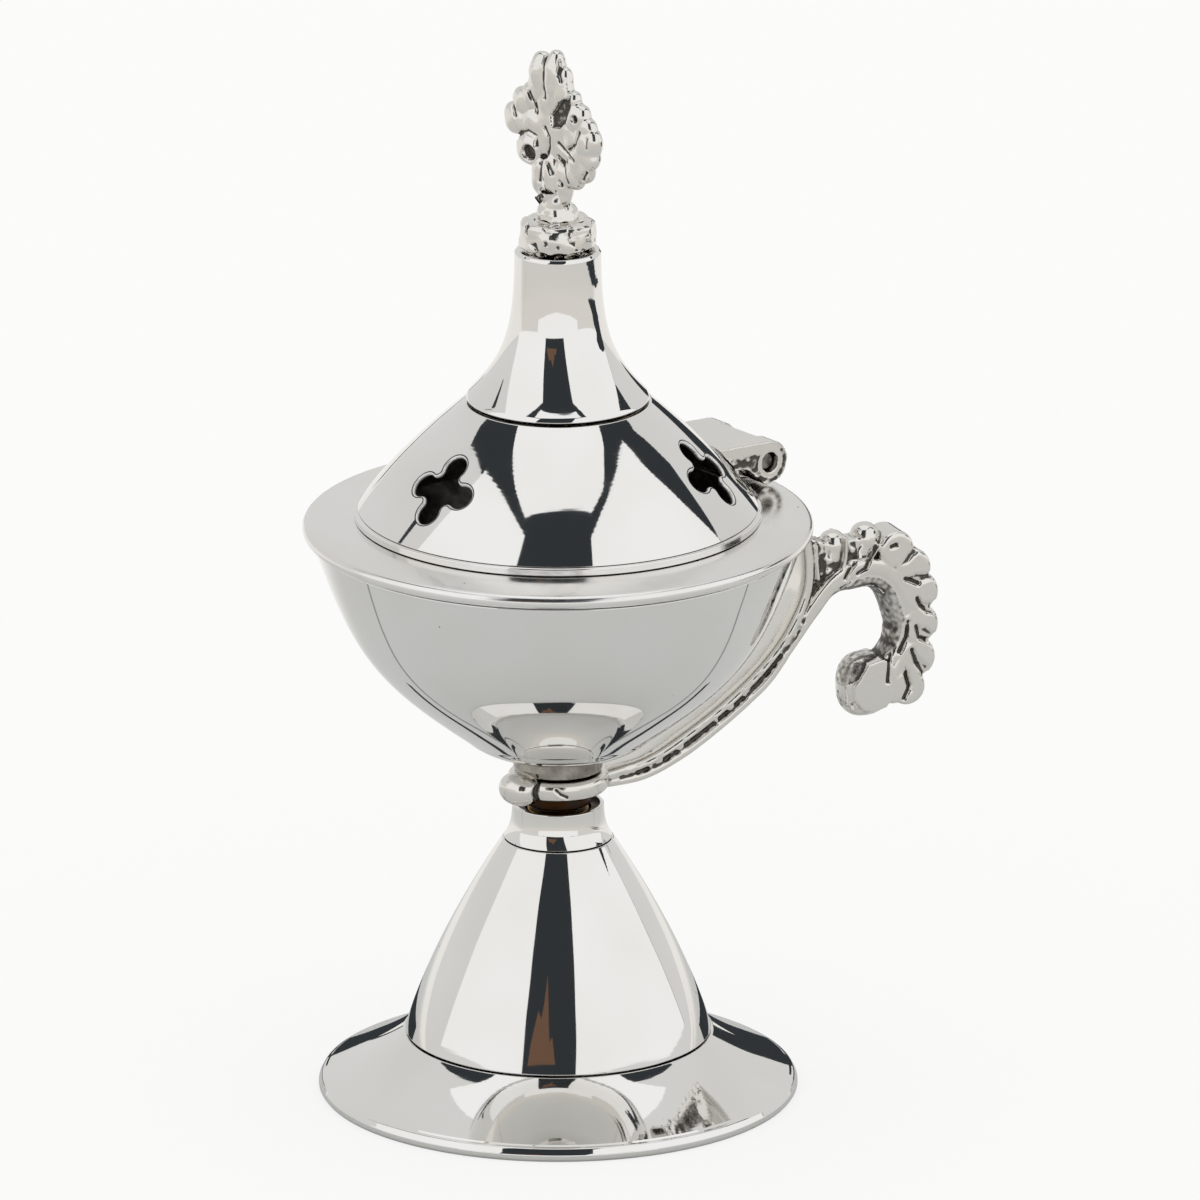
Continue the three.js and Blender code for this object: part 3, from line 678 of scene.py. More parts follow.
def with_modifier(work, kind, **settings):
    """Adds a modifier to a scratch object."""
    modifier = work.modifiers.new(kind, kind)
    for name, value in settings.items():
        setattr(modifier, name, value)


def shaped(work):
    """The mesh of an object after its modifiers, as points and faces. The object goes."""
    bpy.context.view_layer.update()
    mesh = bpy.data.meshes.new_from_object(work.evaluated_get(bpy.context.evaluated_depsgraph_get()))
    points = np.empty(len(mesh.vertices) * 3, np.float32)
    mesh.vertices.foreach_get("co", points)
    faces = [tuple(p.vertices) for p in mesh.polygons]
    bpy.data.objects.remove(work)
    bpy.data.meshes.remove(mesh)
    return points.reshape(-1, 3).astype(float), faces


def cut(solid, cutters):
    """A solid less the cutters."""
    work = scratch_object("work", solid)
    tools = [scratch_object("cutter", cutter) for cutter in cutters]
    for tool in tools:
        with_modifier(work, "BOOLEAN", operation="DIFFERENCE", solver="MANIFOLD", object=tool)
    made = shaped(work)
    for tool in tools:
        bpy.data.objects.remove(tool)
    return made


def melted(solid, voxel):
    """One skin over overlapping solids, as metal that was poured into one mould."""
    work = scratch_object("work", solid)
    with_modifier(work, "REMESH", mode="VOXEL", voxel_size=voxel, adaptivity=0.0)
    return shaped(work)


def bevelled(solid, width, segments):
    """A solid with its sharp edges broken."""
    work = scratch_object("work", solid)
    angle = math.radians(40)
    with_modifier(work, "BEVEL", width=width, segments=segments, limit_method="ANGLE", angle_limit=angle)
    return shaped(work)


def by_length(faces):
    """Faces in one array for each number of corners."""
    kinds = {}
    for face in faces:
        kinds.setdefault(len(face), []).append(face)
    return [np.array(k) for k in kinds.values()]


def edges_of(faces):
    pairs = np.concatenate([np.stack([f, np.roll(f, -1, 1)], -1).reshape(-1, 2) for f in by_length(faces)])
    return np.unique(np.sort(pairs, 1), axis=0)


def relaxed(points, edges, rounds, share=0.5):
    """Points drawn towards the middle of their neighbours."""
    start, end = np.concatenate([edges, edges[:, ::-1]]).T
    count = np.maximum(np.bincount(start, minlength=len(points)), 1)
    p = points.copy()
    for _ in range(rounds):
        total = np.stack([np.bincount(start, p[end, k], len(p)) for k in range(3)], 1)
        p += share * (total / count[:, None] - p)
    return p


def vertex_normals(points, faces):
    normals = np.zeros_like(points)
    for group in by_length(faces):
        flat = across(points[group])
        for k in range(group.shape[1]):
            for axis in range(3):
                normals[:, axis] += np.bincount(group[:, k], flat[:, axis], len(points))
    return normals / np.maximum(np.linalg.norm(normals, axis=1), 1e-12)[:, None]


def lumps(points, scale, seed=0.0):
    """Smooth noise between about -1 and 1 at each point. scale is the size of a lump in millimetres."""
    spots = (Vector((x / scale + seed, y / scale, z / scale)) for x, y, z in points)
    return np.array([noise.noise(spot) for spot in spots]) * 1.6


def ramp(values, start, span):
    """0 where a value is at the start, and up to 1 where it is a span past it."""
    return np.clip((values - start) / span, 0, 1)


def distance_to(points, path):
    """Distance from each point to a polyline."""
    best = np.full(len(points), 1e9)
    for a, b in zip(path, path[1:]):
        a, b = np.array(a, float), np.array(b, float)
        run = b - a
        share = np.clip(((points - a) @ run) / (run @ run), 0, 1)
        best = np.minimum(best, np.linalg.norm(points - a - share[:, None] * run, axis=1))
    return best


def grooves(points, paths, width):
    """1 on any of the paths, down to 0 at the given width from all of them."""
    return np.maximum.reduce([np.clip(1 - distance_to(points, path) / width, 0, 1) for path in paths])


def inside(points, polygon):
    """Which points lie inside a polygon."""
    x, y = points[:, 0], points[:, 1]
    hit = np.zeros(len(points), bool)
    for (x0, y0), (x1, y1) in zip(polygon, np.roll(polygon, -1, 0)):
        crosses = (y0 > y) != (y1 > y)
        hit ^= crosses & (x < (x1 - x0) * (y - y0) / (y1 - y0 + 1e-30) + x0)
    return hit


def sunk(points, polygon, slope):
    """1 inside a polygon, down to 0 at its edge over the width of the slope."""
    edge = distance_to(points, [*polygon, polygon[0]])
    return inside(points, np.array(polygon)) * np.clip(edge / slope, 0, 1)


def cast_piece(name, solid, rounds, body, nodes, shape=None, seed=0.0):
    """Softens a melted skin, shapes it, gives its rough places the sand's grain, marks its hollows as painted
    shade, and makes the piece. shape returns the new points and how rough and how darkened with painted shade
    each is, from 0 to 1."""
    points, faces = solid
    edges = edges_of(faces)
    points = relaxed(points, edges, rounds)
    normals = vertex_normals(points, faces)
    rough = np.zeros(len(points))
    if shape:
        points, rough = shape(points, normals)
        normals = vertex_normals(points, faces)
    height = bpy.context.scene.censer_sizes.casting_grain / MM * (POLISHED_SHARE + rough)
    grain = LUMP_SHARE * lumps(points, LARGE_LUMP, seed) + LUMP_SHARE * lumps(points, SMALL_LUMP, seed + 5)
    points = points + normals * (height * grain)[:, None]
    normals = vertex_normals(points, faces)
    # painted shade: points sunk below their smoothed neighbours are marked dark, together with the dark that
    # shape gives
    plain = relaxed(points, edges, HOLLOW_ROUNDS)
    hollow = np.clip(((plain - points) * normals).sum(1) / HOLLOW_DEPTH, -1, 1)
    painted_shade_and_tarnish = np.clip(hollow + rough, -1, 1)
    return mesh_piece(name, points, faces, ["cast"], body, "cast_nickel", nodes, hollow=painted_shade_and_tarnish)


# Operators: the metal


class CENSER_OT_foot(bpy.types.Operator):
    """Turns the flared base, the bell and the collar of the foot"""

    bl_idname = "censer.foot"
    bl_label = "Foot"

    def execute(self, context):
        sizes = context.scene.censer_sizes
        edge = sizes.edge / MM
        scale = sizes.foot_across / FOOT_ACROSS
        base = [
            [35.8, 0, 0.2], [37.3, 0, 0.25], [37.7, 0.5, 0.5], [37.7, 1.15, 0.9], [37.2, 2.1, 0.9],
            [36.75, 2.28, 0.3],
            *rows(bezier([(36.4, 2.5), (29, 5.6), (24.4, 9.4)], 40), (0.3, edge)),
            [22.1, 9.4, 0.1], [22.1, 12, 0.2],
        ]
        under = [[21.3, 12, 0.2], *rows(bezier([(21.3, 8.6), (28.4, 4.6), (35.7, 1.5)], 24), (0.3, 0.3))]
        turned_piece("flared_base", base, under, "vessel", ["foot_base"], ["bright", "satin"], scale)
        bell = [*rows(bezier([(24.1, 9.6), (19.7, 24.2), (8.7, 41.3)], 64), (edge, edge)), [5.2, 41.3, 0.15]]
        under = [[5.2, 40.4, 0.15], *rows(bezier([(7.6, 40.4), (18.8, 23.8), (23.3, 9.6)], 48), (0.2, 0.2))]
        turned_piece("bell", bell, under, "vessel", ["foot_bell"], ["bright", "satin"], scale)
        side = bezier([(8.55, 41.5), (7.6, 42.7), (7.25, 44.3), (7.2, 46.9)], 24)
        collar = [[5.2, 41.5, 0.1], *rows(side, (0.12, 0.25))]
        top = [[6.5, 46.9, 0.2], [6.3, 46.3, 0.2], [5.2, 46.3, 0.1]]
        # the collar's hollow top takes the brass darkened as painted shade
        turned_piece("foot_collar_turned", collar, top, "vessel", ["foot_collar"], ["bright", "smoked"])
        return {"FINISHED"}


class CENSER_OT_bowl(bpy.types.Operator):
    """Spins the bowl, and turns the drum under it and the ring that closes its mouth"""

    bl_idname = "censer.bowl"
    bl_label = "Bowl"

    def execute(self, context):
        sizes = context.scene.censer_sizes
        scale = sizes.rim_across / RIM_ACROSS
        drum = [
            [2.8, 52.6, 0.15], [6.9, 52.6, 0.3], [7.1, 53.6, 0.6], [7.1, 55.6, 0.1], [6.7, 55.6, 0.1],
            [6.5, 54.5, 0.2], [2.8, 54.5, 0.1],
        ]
        turned_piece("drum", drum, [], "vessel", ["bowl_boss"], ["sooty", "satin"])
        bottom = bezier([(2.8, 54.6), (7.2, 54.5), (6.4, 55.6), (9.4, 55.7), (12.0, 55.6), (15.4, 58.8)], 40)
        outer = np.array([*bottom, *bezier([(15.7, 59), (30, 69.7), (32.5, 73.2), (38.55, 90.9)], 90)])
        inner = rows(beside(outer, WALL)[::-1], (0.2, 0.2))
        inner[-1][0] = 2.8
        outer = rows(outer, (0.2, 0.2))
        turned_piece("spun_bowl", outer, inner, "vessel", ["bowl_shell"], ["bright", "satin"], scale)
        lip = arc(1.1, -math.pi / 2, math.pi / 2, 16, (38.9, 92.4))
        ring = [[37.4, 91.6, 0.2], *rows([(38.2, 91.33), *lip], (0.3, 0.4)), [31.2, 94.3, sizes.edge / MM]]
        under = [[31.2, 93.4, 0.2], [37.4, 92.6, 0.3]]
        turned_piece("rim", ring, under, "vessel", ["rim_ring"], ["buffed", "satin"], scale)
        return {"FINISHED"}


def piercing_outline(steps=14, lobe=2.0, out=4.15, tongue=1.2):
    """The cross of four round lobes: points, and the direction out of the hole at each. The lobes have a
    radius of 2 mm, 4.15 mm from the middle, and the tongues between them end in a radius of 1.2 mm."""
    span = lobe + tongue
    corner = (out + math.sqrt(2 * span**2 - out**2)) / 2
    half = math.atan2(corner, corner - out)
    reach = corner * math.sqrt(2)
    points, outward = [], []

    def point(distance, turn, radius, angle):
        points.append([distance * way(turn) + radius * way(angle) for way in (math.cos, math.sin)])
        side = 1 if radius == lobe else -1
        outward.append([side * way(angle) for way in (math.cos, math.sin)])

    for turn in (arm * math.pi / 2 for arm in range(4)):
        for k in range(2 * steps):
            point(out, turn, lobe, turn - half + half * k / steps)
        middle = turn + math.pi / 4
        begin = turn + half + math.pi
        for k in range(steps):
            point(reach, middle, tongue, begin - 2 * (begin - middle - math.pi) * k / steps)
    return np.array(points), np.array(outward)


class CENSER_OT_lid(bpy.types.Operator):
    """Spins the lid: its edge, the pierced dome and the neck"""

    bl_idname = "censer.lid"
    bl_label = "Lid"

    def execute(self, context):
        sizes = context.scene.censer_sizes
        scale = sizes.lid_across / LID_ACROSS
        lip = [[30.6, 92.2, 0.2], [30.6, 94.36, 0.1], [32, 94.36, 0.12], [32, 95.55, 0.3]]
        skirt = [[29.6, 95.55, 0.2], [29.6, 92.2, 0.2]]
        turned_piece("lid_edge", lip, skirt, "lid", ["lid_lip"], ["bright", "satin"], scale)
        self.dome(sizes, scale)
        flare = bezier([(14.2, 114.1), (8.7, 119.8), (6.8, 124), (6.8, 137.3)], 56)
        outer = np.array([(14.35, 113.75), *flare])
        inner = beside(outer, WALL)[::-1]
        inner = inner[inner[:, 1] < 136.7]
        neck = [[14.3, 113.6, 0.15], *rows(outer, (0.1, 0.4)), [6.4, 137.8, 0.3], [2.4, 137.8, 0.1]]
        under = [[2.4, 136.9, 0.1], [5.9, 136.9, 0.1], *rows(inner), [13.3, 113.6, 0.1]]
        turned_piece("neck", neck, under, "lid", ["lid_neck"], ["bright", "satin"], scale)
        return {"FINISHED"}

    def dome(self, sizes, scale):
        """The dome, with its piercings cut through and their edges rounded by the buff."""
        around = sizes.around
        curve = bezier(DOME_CURVE, 72)
        under = beside(curve, WALL)
        under = under[(under[:, 1] > 95.9) & (under[:, 1] < 112.3)][::-1]
        outer = [*rows(curve, (sizes.edge / MM, 0.4)), [2.4, 113.4, 0.1]]
        inner = [[2.4, 112.5, 0.1], [13.6, 112.5, 0.2], *rows(under), [30.3, 95.6, 0.2]]
        points, flat_normals, origins = rounded([*outer, *inner])
        points[:, 0] *= scale
        vertices, faces, normals, face_rows = revolve(points, flat_normals, around)
        start = len(outer) + 2
        sides = [
            [i for i, row in enumerate(origins) if first < row < last]
            for first, last in ((0, len(curve) - 1), (start, start + len(under) - 1))
        ]
        outline, outward = piercing_outline()
        count = len(outline)
        drop, new_vertices, new_normals, new_faces, new_finish = set(), [], [], [], []
        total = len(vertices)
        last_loop = 2 * FILED_STEPS - 1
        finishes = ["bright", "satin", "filed", "residue"]
        for turn in (PIERCING_TURN + index * 2 * math.pi / 3 for index in range(3)):
            radial = np.array([math.cos(turn), math.sin(turn), 0])
            sideways = np.array([-math.sin(turn), math.cos(turn), 0])
            axis = radial * math.cos(PIERCING_TILT) + np.array([0, 0, math.sin(PIERCING_TILT)])
            upward = np.cross(sideways, axis)
            upward = upward if upward[2] > 0 else -upward
            centre = radial * PIERCING_X * scale + np.array([0, 0, PIERCING_Z])
            into = -(outward[:, :1] * sideways + outward[:, 1:] * upward)
            loops = []
            for side, rows_here in enumerate(sides):
                way = -1 if side else 1
                shell = points[rows_here], flat_normals[rows_here]
                side_loops = []
                for angle in (math.pi / 2 * step / (FILED_STEPS - 1) for step in range(FILED_STEPS)):
                    spot = outline + outward * FILED_RADIUS * (1 - math.sin(angle))
                    p, surface_normal = self.on_shell(
                        centre + spot[:, :1] * sideways + spot[:, 1:] * upward, axis, *shell
                    )
                    lowered = p - way * axis * FILED_RADIUS * (1 - math.cos(angle))
                    side_loops.append((lowered, surface_normal * math.cos(angle) + into * math.sin(angle)))
                loops += side_loops[::way]
                start = total + side * last_loop * count
                self.patch(
                    shell[0], rows_here, turn, around, side_loops[0][0], start,
                    drop, new_faces, new_finish, side,
                )
            for k, (loop, direction) in enumerate(loops):
                new_vertices.append(loop)
                new_normals.append(direction)
                if k == last_loop:
                    continue
                # dried polish in the outer corner, then the filed wall, then the dull inside
                kind = "residue" if k == 0 else "filed" if k < last_loop - 1 else "satin"
                for j in range(count):
                    a, b = total + k * count + j, total + k * count + (j + 1) % count
                    new_faces.append((a, b, b + count, a + count))
                    new_finish.append(finishes.index(kind))
            total += len(loops) * count
        kept = [(f, r) for f, r in zip(faces, face_rows) if f not in drop]
        faces = [f for f, _ in kept] + new_faces
        second = [int(origins[r] >= len(outer)) for _, r in kept] + new_finish
        vertices = np.concatenate([vertices, *new_vertices])
        normals = np.concatenate([normals, *new_normals])
        used = np.unique(np.concatenate([np.array(f) for f in faces]))
        place = np.full(len(vertices), -1)
        place[used] = np.arange(len(used))
        faces = [tuple(place[list(f)]) for f in faces]
        vertices, normals = vertices[used], normals[used]
        mesh_piece(
            "pierced_dome", vertices, wound(vertices, faces, normals), finishes, "lid", "polished_nickel",
            ["lid_dome"], normals, second,
        )

    def on_shell(self, base, axis, profile, profile_normals):
        """Where lines along the axis meet a turned surface, and its normals there."""
        order = np.argsort(profile[:, 1])
        radii, heights = profile[order].T
        out_known, up_known = profile_normals[order].T
        low, high = np.full(len(base), -3.5), np.full(len(base), 2.5)  # from well inside to well outside
        for _ in range(36):  # each round halves what is left between them
            middle = (low + high) / 2
            p = base + middle[:, None] * axis
            gap = np.hypot(p[:, 0], p[:, 1]) - np.interp(p[:, 2], heights, radii)
            high = np.where(gap > 0, middle, high)
            low = np.where(gap > 0, low, middle)
        p = base + ((low + high) / 2)[:, None] * axis
        r = np.hypot(p[:, 0], p[:, 1])
        out, up = (np.interp(p[:, 2], heights, known) for known in (out_known, up_known))
        return p, np.stack([out * p[:, 0] / r, out * p[:, 1] / r, up], 1)

    def patch(self, profile, rows_here, turn, around, loop, loop_start, drop, faces, finishes, side):
        """Replaces the plain facets round one piercing by triangles that meet its edge."""
        run = run_of(profile)
        loop_angle = (np.arctan2(loop[:, 1], loop[:, 0]) - turn + math.pi) % (2 * math.pi) - math.pi
        order = np.argsort(profile[:, 1])
        loop_run = np.interp(loop[:, 2], profile[order, 1], run[order])
        ring = np.stack([loop_angle * DOME_MEAN_RADIUS, loop_run], 1)
        step = 2 * math.pi / around
        # the facets that go: those behind the piercing, with a margin on each side
        side_margin, row_margin, too_near = 0.02, 3, 0.22
        first = math.floor((turn - side_margin + loop_angle.min()) / step) - 1
        last = math.ceil((turn + side_margin + loop_angle.max()) / step) + 1
        row_first = max(np.searchsorted(run, loop_run.min()) - row_margin, 0)
        row_last = min(np.searchsorted(run, loop_run.max()) + row_margin, len(rows_here) - 1)
        columns = list(range(first, last + 1))
        cells = [(i, c) for i in range(row_first, row_last + 1) for c in columns]
        flat = np.array([((c * step - turn) * DOME_MEAN_RADIUS, run[i]) for i, c in cells])
        vertex = {(i, c): rows_here[i] * around + c % around for i, c in cells}
        near = np.min(np.linalg.norm(flat[:, None] - ring[None], axis=2), axis=1) < too_near
        keep = ~(inside(flat, ring) | near)
        corners = [Vector(p) for p in (*flat[keep], *ring)]
        ids = [vertex[cell] for cell, good in zip(cells, keep) if good]
        ids += range(loop_start, loop_start + len(ring))
        new_index = dict(zip(cells, (np.cumsum(keep) - 1).tolist()))
        border = [(row_first, c) for c in columns] + [(i, last) for i in range(row_first + 1, row_last + 1)]
        border += [(row_last, c) for c in reversed(columns[:-1])]
        border += [(i, first) for i in range(row_last - 1, row_first, -1)]
        base = int(keep.sum())
        chains = [new_index[cell] for cell in border], list(range(base, base + len(ring)))
        edges = [pair for chain in chains for pair in zip(chain, chain[1:] + chain[:1])]
        made, _, triangles, origin, _, _ = delaunay_2d_cdt(corners, edges, [], 0, 1e-7)
        place = np.array([tuple(p) for p in made])
        hole = inside(np.array([place[list(t)].mean(0) for t in triangles]), ring)
        for triangle in (t for t, gone in zip(triangles, hole) if not gone):
            faces.append(tuple(ids[origin[k][0]] for k in triangle))
            finishes.append(side)
        for i in range(row_first, row_last):
            for c in columns[:-1]:
                drop.add((vertex[i, c], vertex[i, c + 1], vertex[i + 1, c + 1], vertex[i + 1, c]))


class CENSER_OT_fixings(bpy.types.Operator):
    """Finishes the bolt, the bush, the stud, the nut and the washers"""

    bl_idname = "censer.fixings"
    bl_label = "Fixings"

    def execute(self, context):
        head = [[4.3, 56.7, 0.15], [4.3, 58.4, 0.5], [3.2, 59.2, 0.8], [0, 59.3, 0]]
        shank = [*self.thread(2.5, 39.4, 49, 0.7), [2.5, 49.4, 0.1], [2.5, 56.7, 0.1]]
        bolt = [[0, 39, 0], [2.0, 39, 0.2], *shank, *head]
        slot = slab([(-6, 58.3), (6, 58.3), (6, 61), (-6, 61)], -0.5, 0.5)
        bolt = cut(turned_solid([(r, z) for r, z, _ in bolt]), [slot])
        self.from_solid("slotted_bolt", bolt, "vessel", ["stem_bolt"])
        bush = [
            [2.7, 37.6, 0.2], [6.6, 37.6, 0.4], [6.6, 40.2, 0.2], [4.9, 40.2, 0.1], [4.9, 46.2, 0.3],
            [2.7, 46.2, 0.2],
        ]
        spacer = [[2.8, 47.0, 0.1], [5.2, 47.0, 0.3], [5.2, 48.9, 0.3], [2.8, 48.9, 0.1]]
        bolt_washer = [[2.8, 55.7, 0.1], [5.6, 55.7, 0.15], [5.6, 56.5, 0.25], [2.8, 56.5, 0.1]]
        stud_washer = [[2.1, 111.6, 0.1], [4.2, 111.6, 0.2], [4.2, 112.2, 0.12], [2.1, 112.2, 0.1]]
        shank = self.thread(1.8, 108.9, 145.4, 0.6)
        stud = [[0, 108.6, 0], [1.4, 108.6, 0.2], *shank, [1.5, 146, 0.2], [0, 146, 0]]
        for name, profile, body, node, kind, steps, around in (
            ("tapped_bush", bush, "vessel", "foot_bush", "brass", 5, 96),
            # the spacer takes the brass darkened as painted shade of the gap
            ("brass_spacer", spacer, "vessel", "spacer_washer", "smoked", 5, 96),
            ("bolt_washer_turned", bolt_washer, "vessel", "bolt_washer", "brass", 5, 96),
            ("stud_washer", stud_washer, "lid", "finial_washer", "brass", 5, 96),
            ("threaded_stud", stud, "lid", "finial_stud", "brass", 2, 72),
        ):
            turned_piece(name, profile, [], body, [node], [kind], slot="brass", steps=steps, around=around)
        corner, low, high, chamfer = 3.4, 109.2, 111.4, 0.35
        vertices, faces = [], []
        for z, shrink in ((low, chamfer), (low + chamfer, 0), (high - chamfer, 0), (high, chamfer)):
            for angle in (math.pi / 3 * k for k in range(6)):
                x, y = corner * math.cos(angle), corner * math.sin(angle)
                vertices.append((x * (1 - shrink / corner), y * (1 - shrink / corner), z))
        for ring in (0, 6, 12):
            faces += [(ring + k, ring + (k + 1) % 6, ring + 6 + (k + 1) % 6, ring + 6 + k) for k in range(6)]
        faces += [tuple(range(5, -1, -1)), tuple(range(18, 24))]
        bore = turned_solid([(0, 100), (2.1, 100), (2.1, 120), (0, 120)], 64)
        nut = cut((np.array(vertices), faces), [bore])
        self.from_solid("hexagon_nut", nut, "lid", ["finial_nut"])
        return {"FINISHED"}

    def thread(self, radius, low, high, pitch):
        """Rows of a threaded shank, drawn as close rings."""
        made = []
        for z in (low + k * pitch for k in range(int((high - low) / pitch))):
            made += [[radius - 0.25, z, 0.05], [radius, z + pitch / 2, 0.05]]
        return made

    def from_solid(self, name, solid, body, nodes):
        """A brass piece with flat faces, its edges broken by a small bevel."""
        piece = mesh_piece(name, *bevelled(solid, 0.12, 2), ["brass"], body, "brass", nodes)
        piece.data.set_sharp_from_angle(angle=math.radians(32))


class CENSER_OT_dish(bpy.types.Operator):
    """Presses the loose dish for the charcoal"""

    bl_idname = "censer.dish"
    bl_label = "Dish"

    def execute(self, context):
        dish = [
            [0, 62, 0], [16.8, 62, 1.6], [27.8, 72.5, 1.4], [29.3, 72.9, 0.35], [29.3, 73.7, 0.35],
            [27.5, 73.4, 1.0], [16.5, 62.8, 1.2], [0, 62.8, 0],
        ]
        turned_piece("pressed_dish", dish, [], "dish", ["ember_dish"], ["steel"], slot="steel", around=192)
        return {"FINISHED"}


STRAP = [
    (6.4, 50.6), (14.6, 51.8), (22.2, 55.6), (29.9, 60.7), (35.8, 65.9), (40, 71.4), (42.2, 77), (42.2, 82),
    (41.3, 86.6), (40.2, 90.3),
]
SCROLL = [
    (42.9, 74.2), (46.0, 77.6), (49.3, 79.4), (53.0, 79.6), (55.5, 78.6), (57.4, 76.7), (58.8, 74.2),
    (59.7, 71.5), (60.3, 68.9), (60.0, 66.5), (59.2, 64.6), (58.2, 63.3), (56.6, 61.6), (54.6, 60.2),
]
# Flat lobes flush with the scroll's sides: middle, half length, half width and turn from level in degrees
FLAT_LOBES = [
    (57.0, 81.9, 3.0, 3.0, 55), (59.7, 78.3, 3.3, 3.3, 38), (61.0, 74.3, 3.3, 3.3, 8),
    (61.0, 69.0, 3.3, 3.3, 0), (60.5, 63.6, 3.3, 3.3, -8), (59.0, 59.0, 3.1, 3.0, -50),
    (56.6, 58.9, 2.5, 2.4, -70),
]
# The near edge of the belly on the scroll's inner side
BELLY_EDGE = [
    (44.6, 75.4), (46.9, 77.2), (49.4, 78.0), (52.8, 78.2), (54.6, 77.5), (56.3, 75.9), (57.5, 73.6),
    (58.3, 71.1), (58.9, 68.8), (58.6, 66.9), (58.0, 65.3), (57.1, 64.3), (55.6, 62.8),
]
# Buds on stems: the stem's root, the bud's middle, and its half width, half height and half depth
BUDS = [
    ((45.6, 77.2), (47.2, 83.3), 2.2, 2.3, 2.4), ((49.8, 79.0), (52.7, 83.6), 2.4, 2.6, 2.5),
    ((42.8, 77.0), (42.8, 81.4), 1.2, 2.7, 2.0),
]
# Thin ribs beside the buds, on both faces
RIBS = [
    [(43.5, 78.6), (43.2, 81.4), (43.1, 84.4)], [(46.3, 77.6), (48.0, 80.8), (48.3, 84.9)],
    [(48.6, 77.0), (51.6, 79.8), (54.0, 83.0)],
]
# Wedges sunk into both faces between the flat lobes
WEDGES = [
    [(58.3, 77.1), (60.2, 77.9), (63.4, 77.7), (63.8, 76.3), (60.5, 75.6), (59.2, 76.1)],
    [(60.3, 73.7), (61.4, 73.0), (64.6, 72.9), (64.6, 70.6), (61.6, 71.2), (60.7, 72.2)],
    [(60.1, 69.1), (62.1, 68.8), (64.4, 66.9), (63.4, 65.2), (60.7, 66.5)],
    [(59.4, 65.4), (60.6, 64.3), (62.6, 62.2), (62.6, 60.0), (60.3, 62.2)],
    [(58.2, 63.0), (59.3, 61.6), (59.8, 58.0), (58.7, 58.0), (58.0, 60.7)],
    [(57.4, 79.3), (58.6, 81.3), (60.6, 82.4), (60.8, 81.0), (58.8, 79.4)],
]
# Creases cut into both faces with a chisel
CREASES = [
    [(58.4, 77.0), (59.7, 76.4), (60.6, 75.9)], [(60.5, 73.5), (61.0, 72.2), (62.2, 71.1), (63.4, 70.8)],
    [(60.3, 68.9), (60.8, 67.0), (63.0, 65.8)], [(59.6, 65.1), (60.3, 62.9), (61.6, 60.8)],
    [(58.5, 61.3), (59.2, 59.3), (58.2, 57.2)], [(56.0, 82.6), (56.8, 82.8)], [(55.8, 64.8), (55.4, 60.4)],
    [(51.1, 82.7), (49.8, 81.1), (48.6, 79.6), (48.0, 78.4)],
    [(53.4, 83.2), (52.3, 81.2), (51.5, 79.6), (50.2, 78.9)], [(58.9, 69.8), (58.6, 67.2), (57.4, 65.0)],
]
# Creases round the eye: degrees round the turning axis, and height
EYE_CREASES = [[(221.8, 52.2), (221.0, 50.6), (222.4, 49.0)], [(244.0, 51.4), (249.0, 50.7), (256.5, 50.1)]]
ROLL_STEP = [(54.5, 64.3), (52.0, 63.7), (50.6, 61.4), (48.5, 60.0), (46.2, 59.6)]
ROLL_FACE = [
    (54.5, 64.2), (52.0, 63.6), (50.6, 61.4), (49.6, 60.2), (49.8, 57.8), (51.2, 56.1), (53.0, 55.5),
    (55.2, 56.2), (56.6, 57.8), (57.0, 60.5), (56.0, 63.4),
]
ROLL_MIDDLE, ROLL_HALF = (52.5, 59.6), (4.3, 5.2)
ROLL_BACK = [*ROLL_STEP, (43, 58), (43, 68), (56, 68)]
EYE = [(2.8, 49.2), (7.3, 49.2), (7.85, 49.7), (8, 50.3), (8, 51.2), (7.8, 51.8), (7.3, 52.3), (2.8, 52.3)]
EYE_STEP = math.radians(8)  # millimetres along the eye's edge, 8 mm from the axis, for one degree
KNOB_TURN, KNOB_RADIUS, KNOB_Z = math.radians(195.8), 7.6, 50.7
# What fills the corner between the strap and the scroll, behind the buds
CORNER = [(41.0, 73.4), (47.4, 78.6), (54.2, 80.6), (54.2, 83.0), (50.4, 84.2), (46.2, 83.8), (41.8, 85.6)]


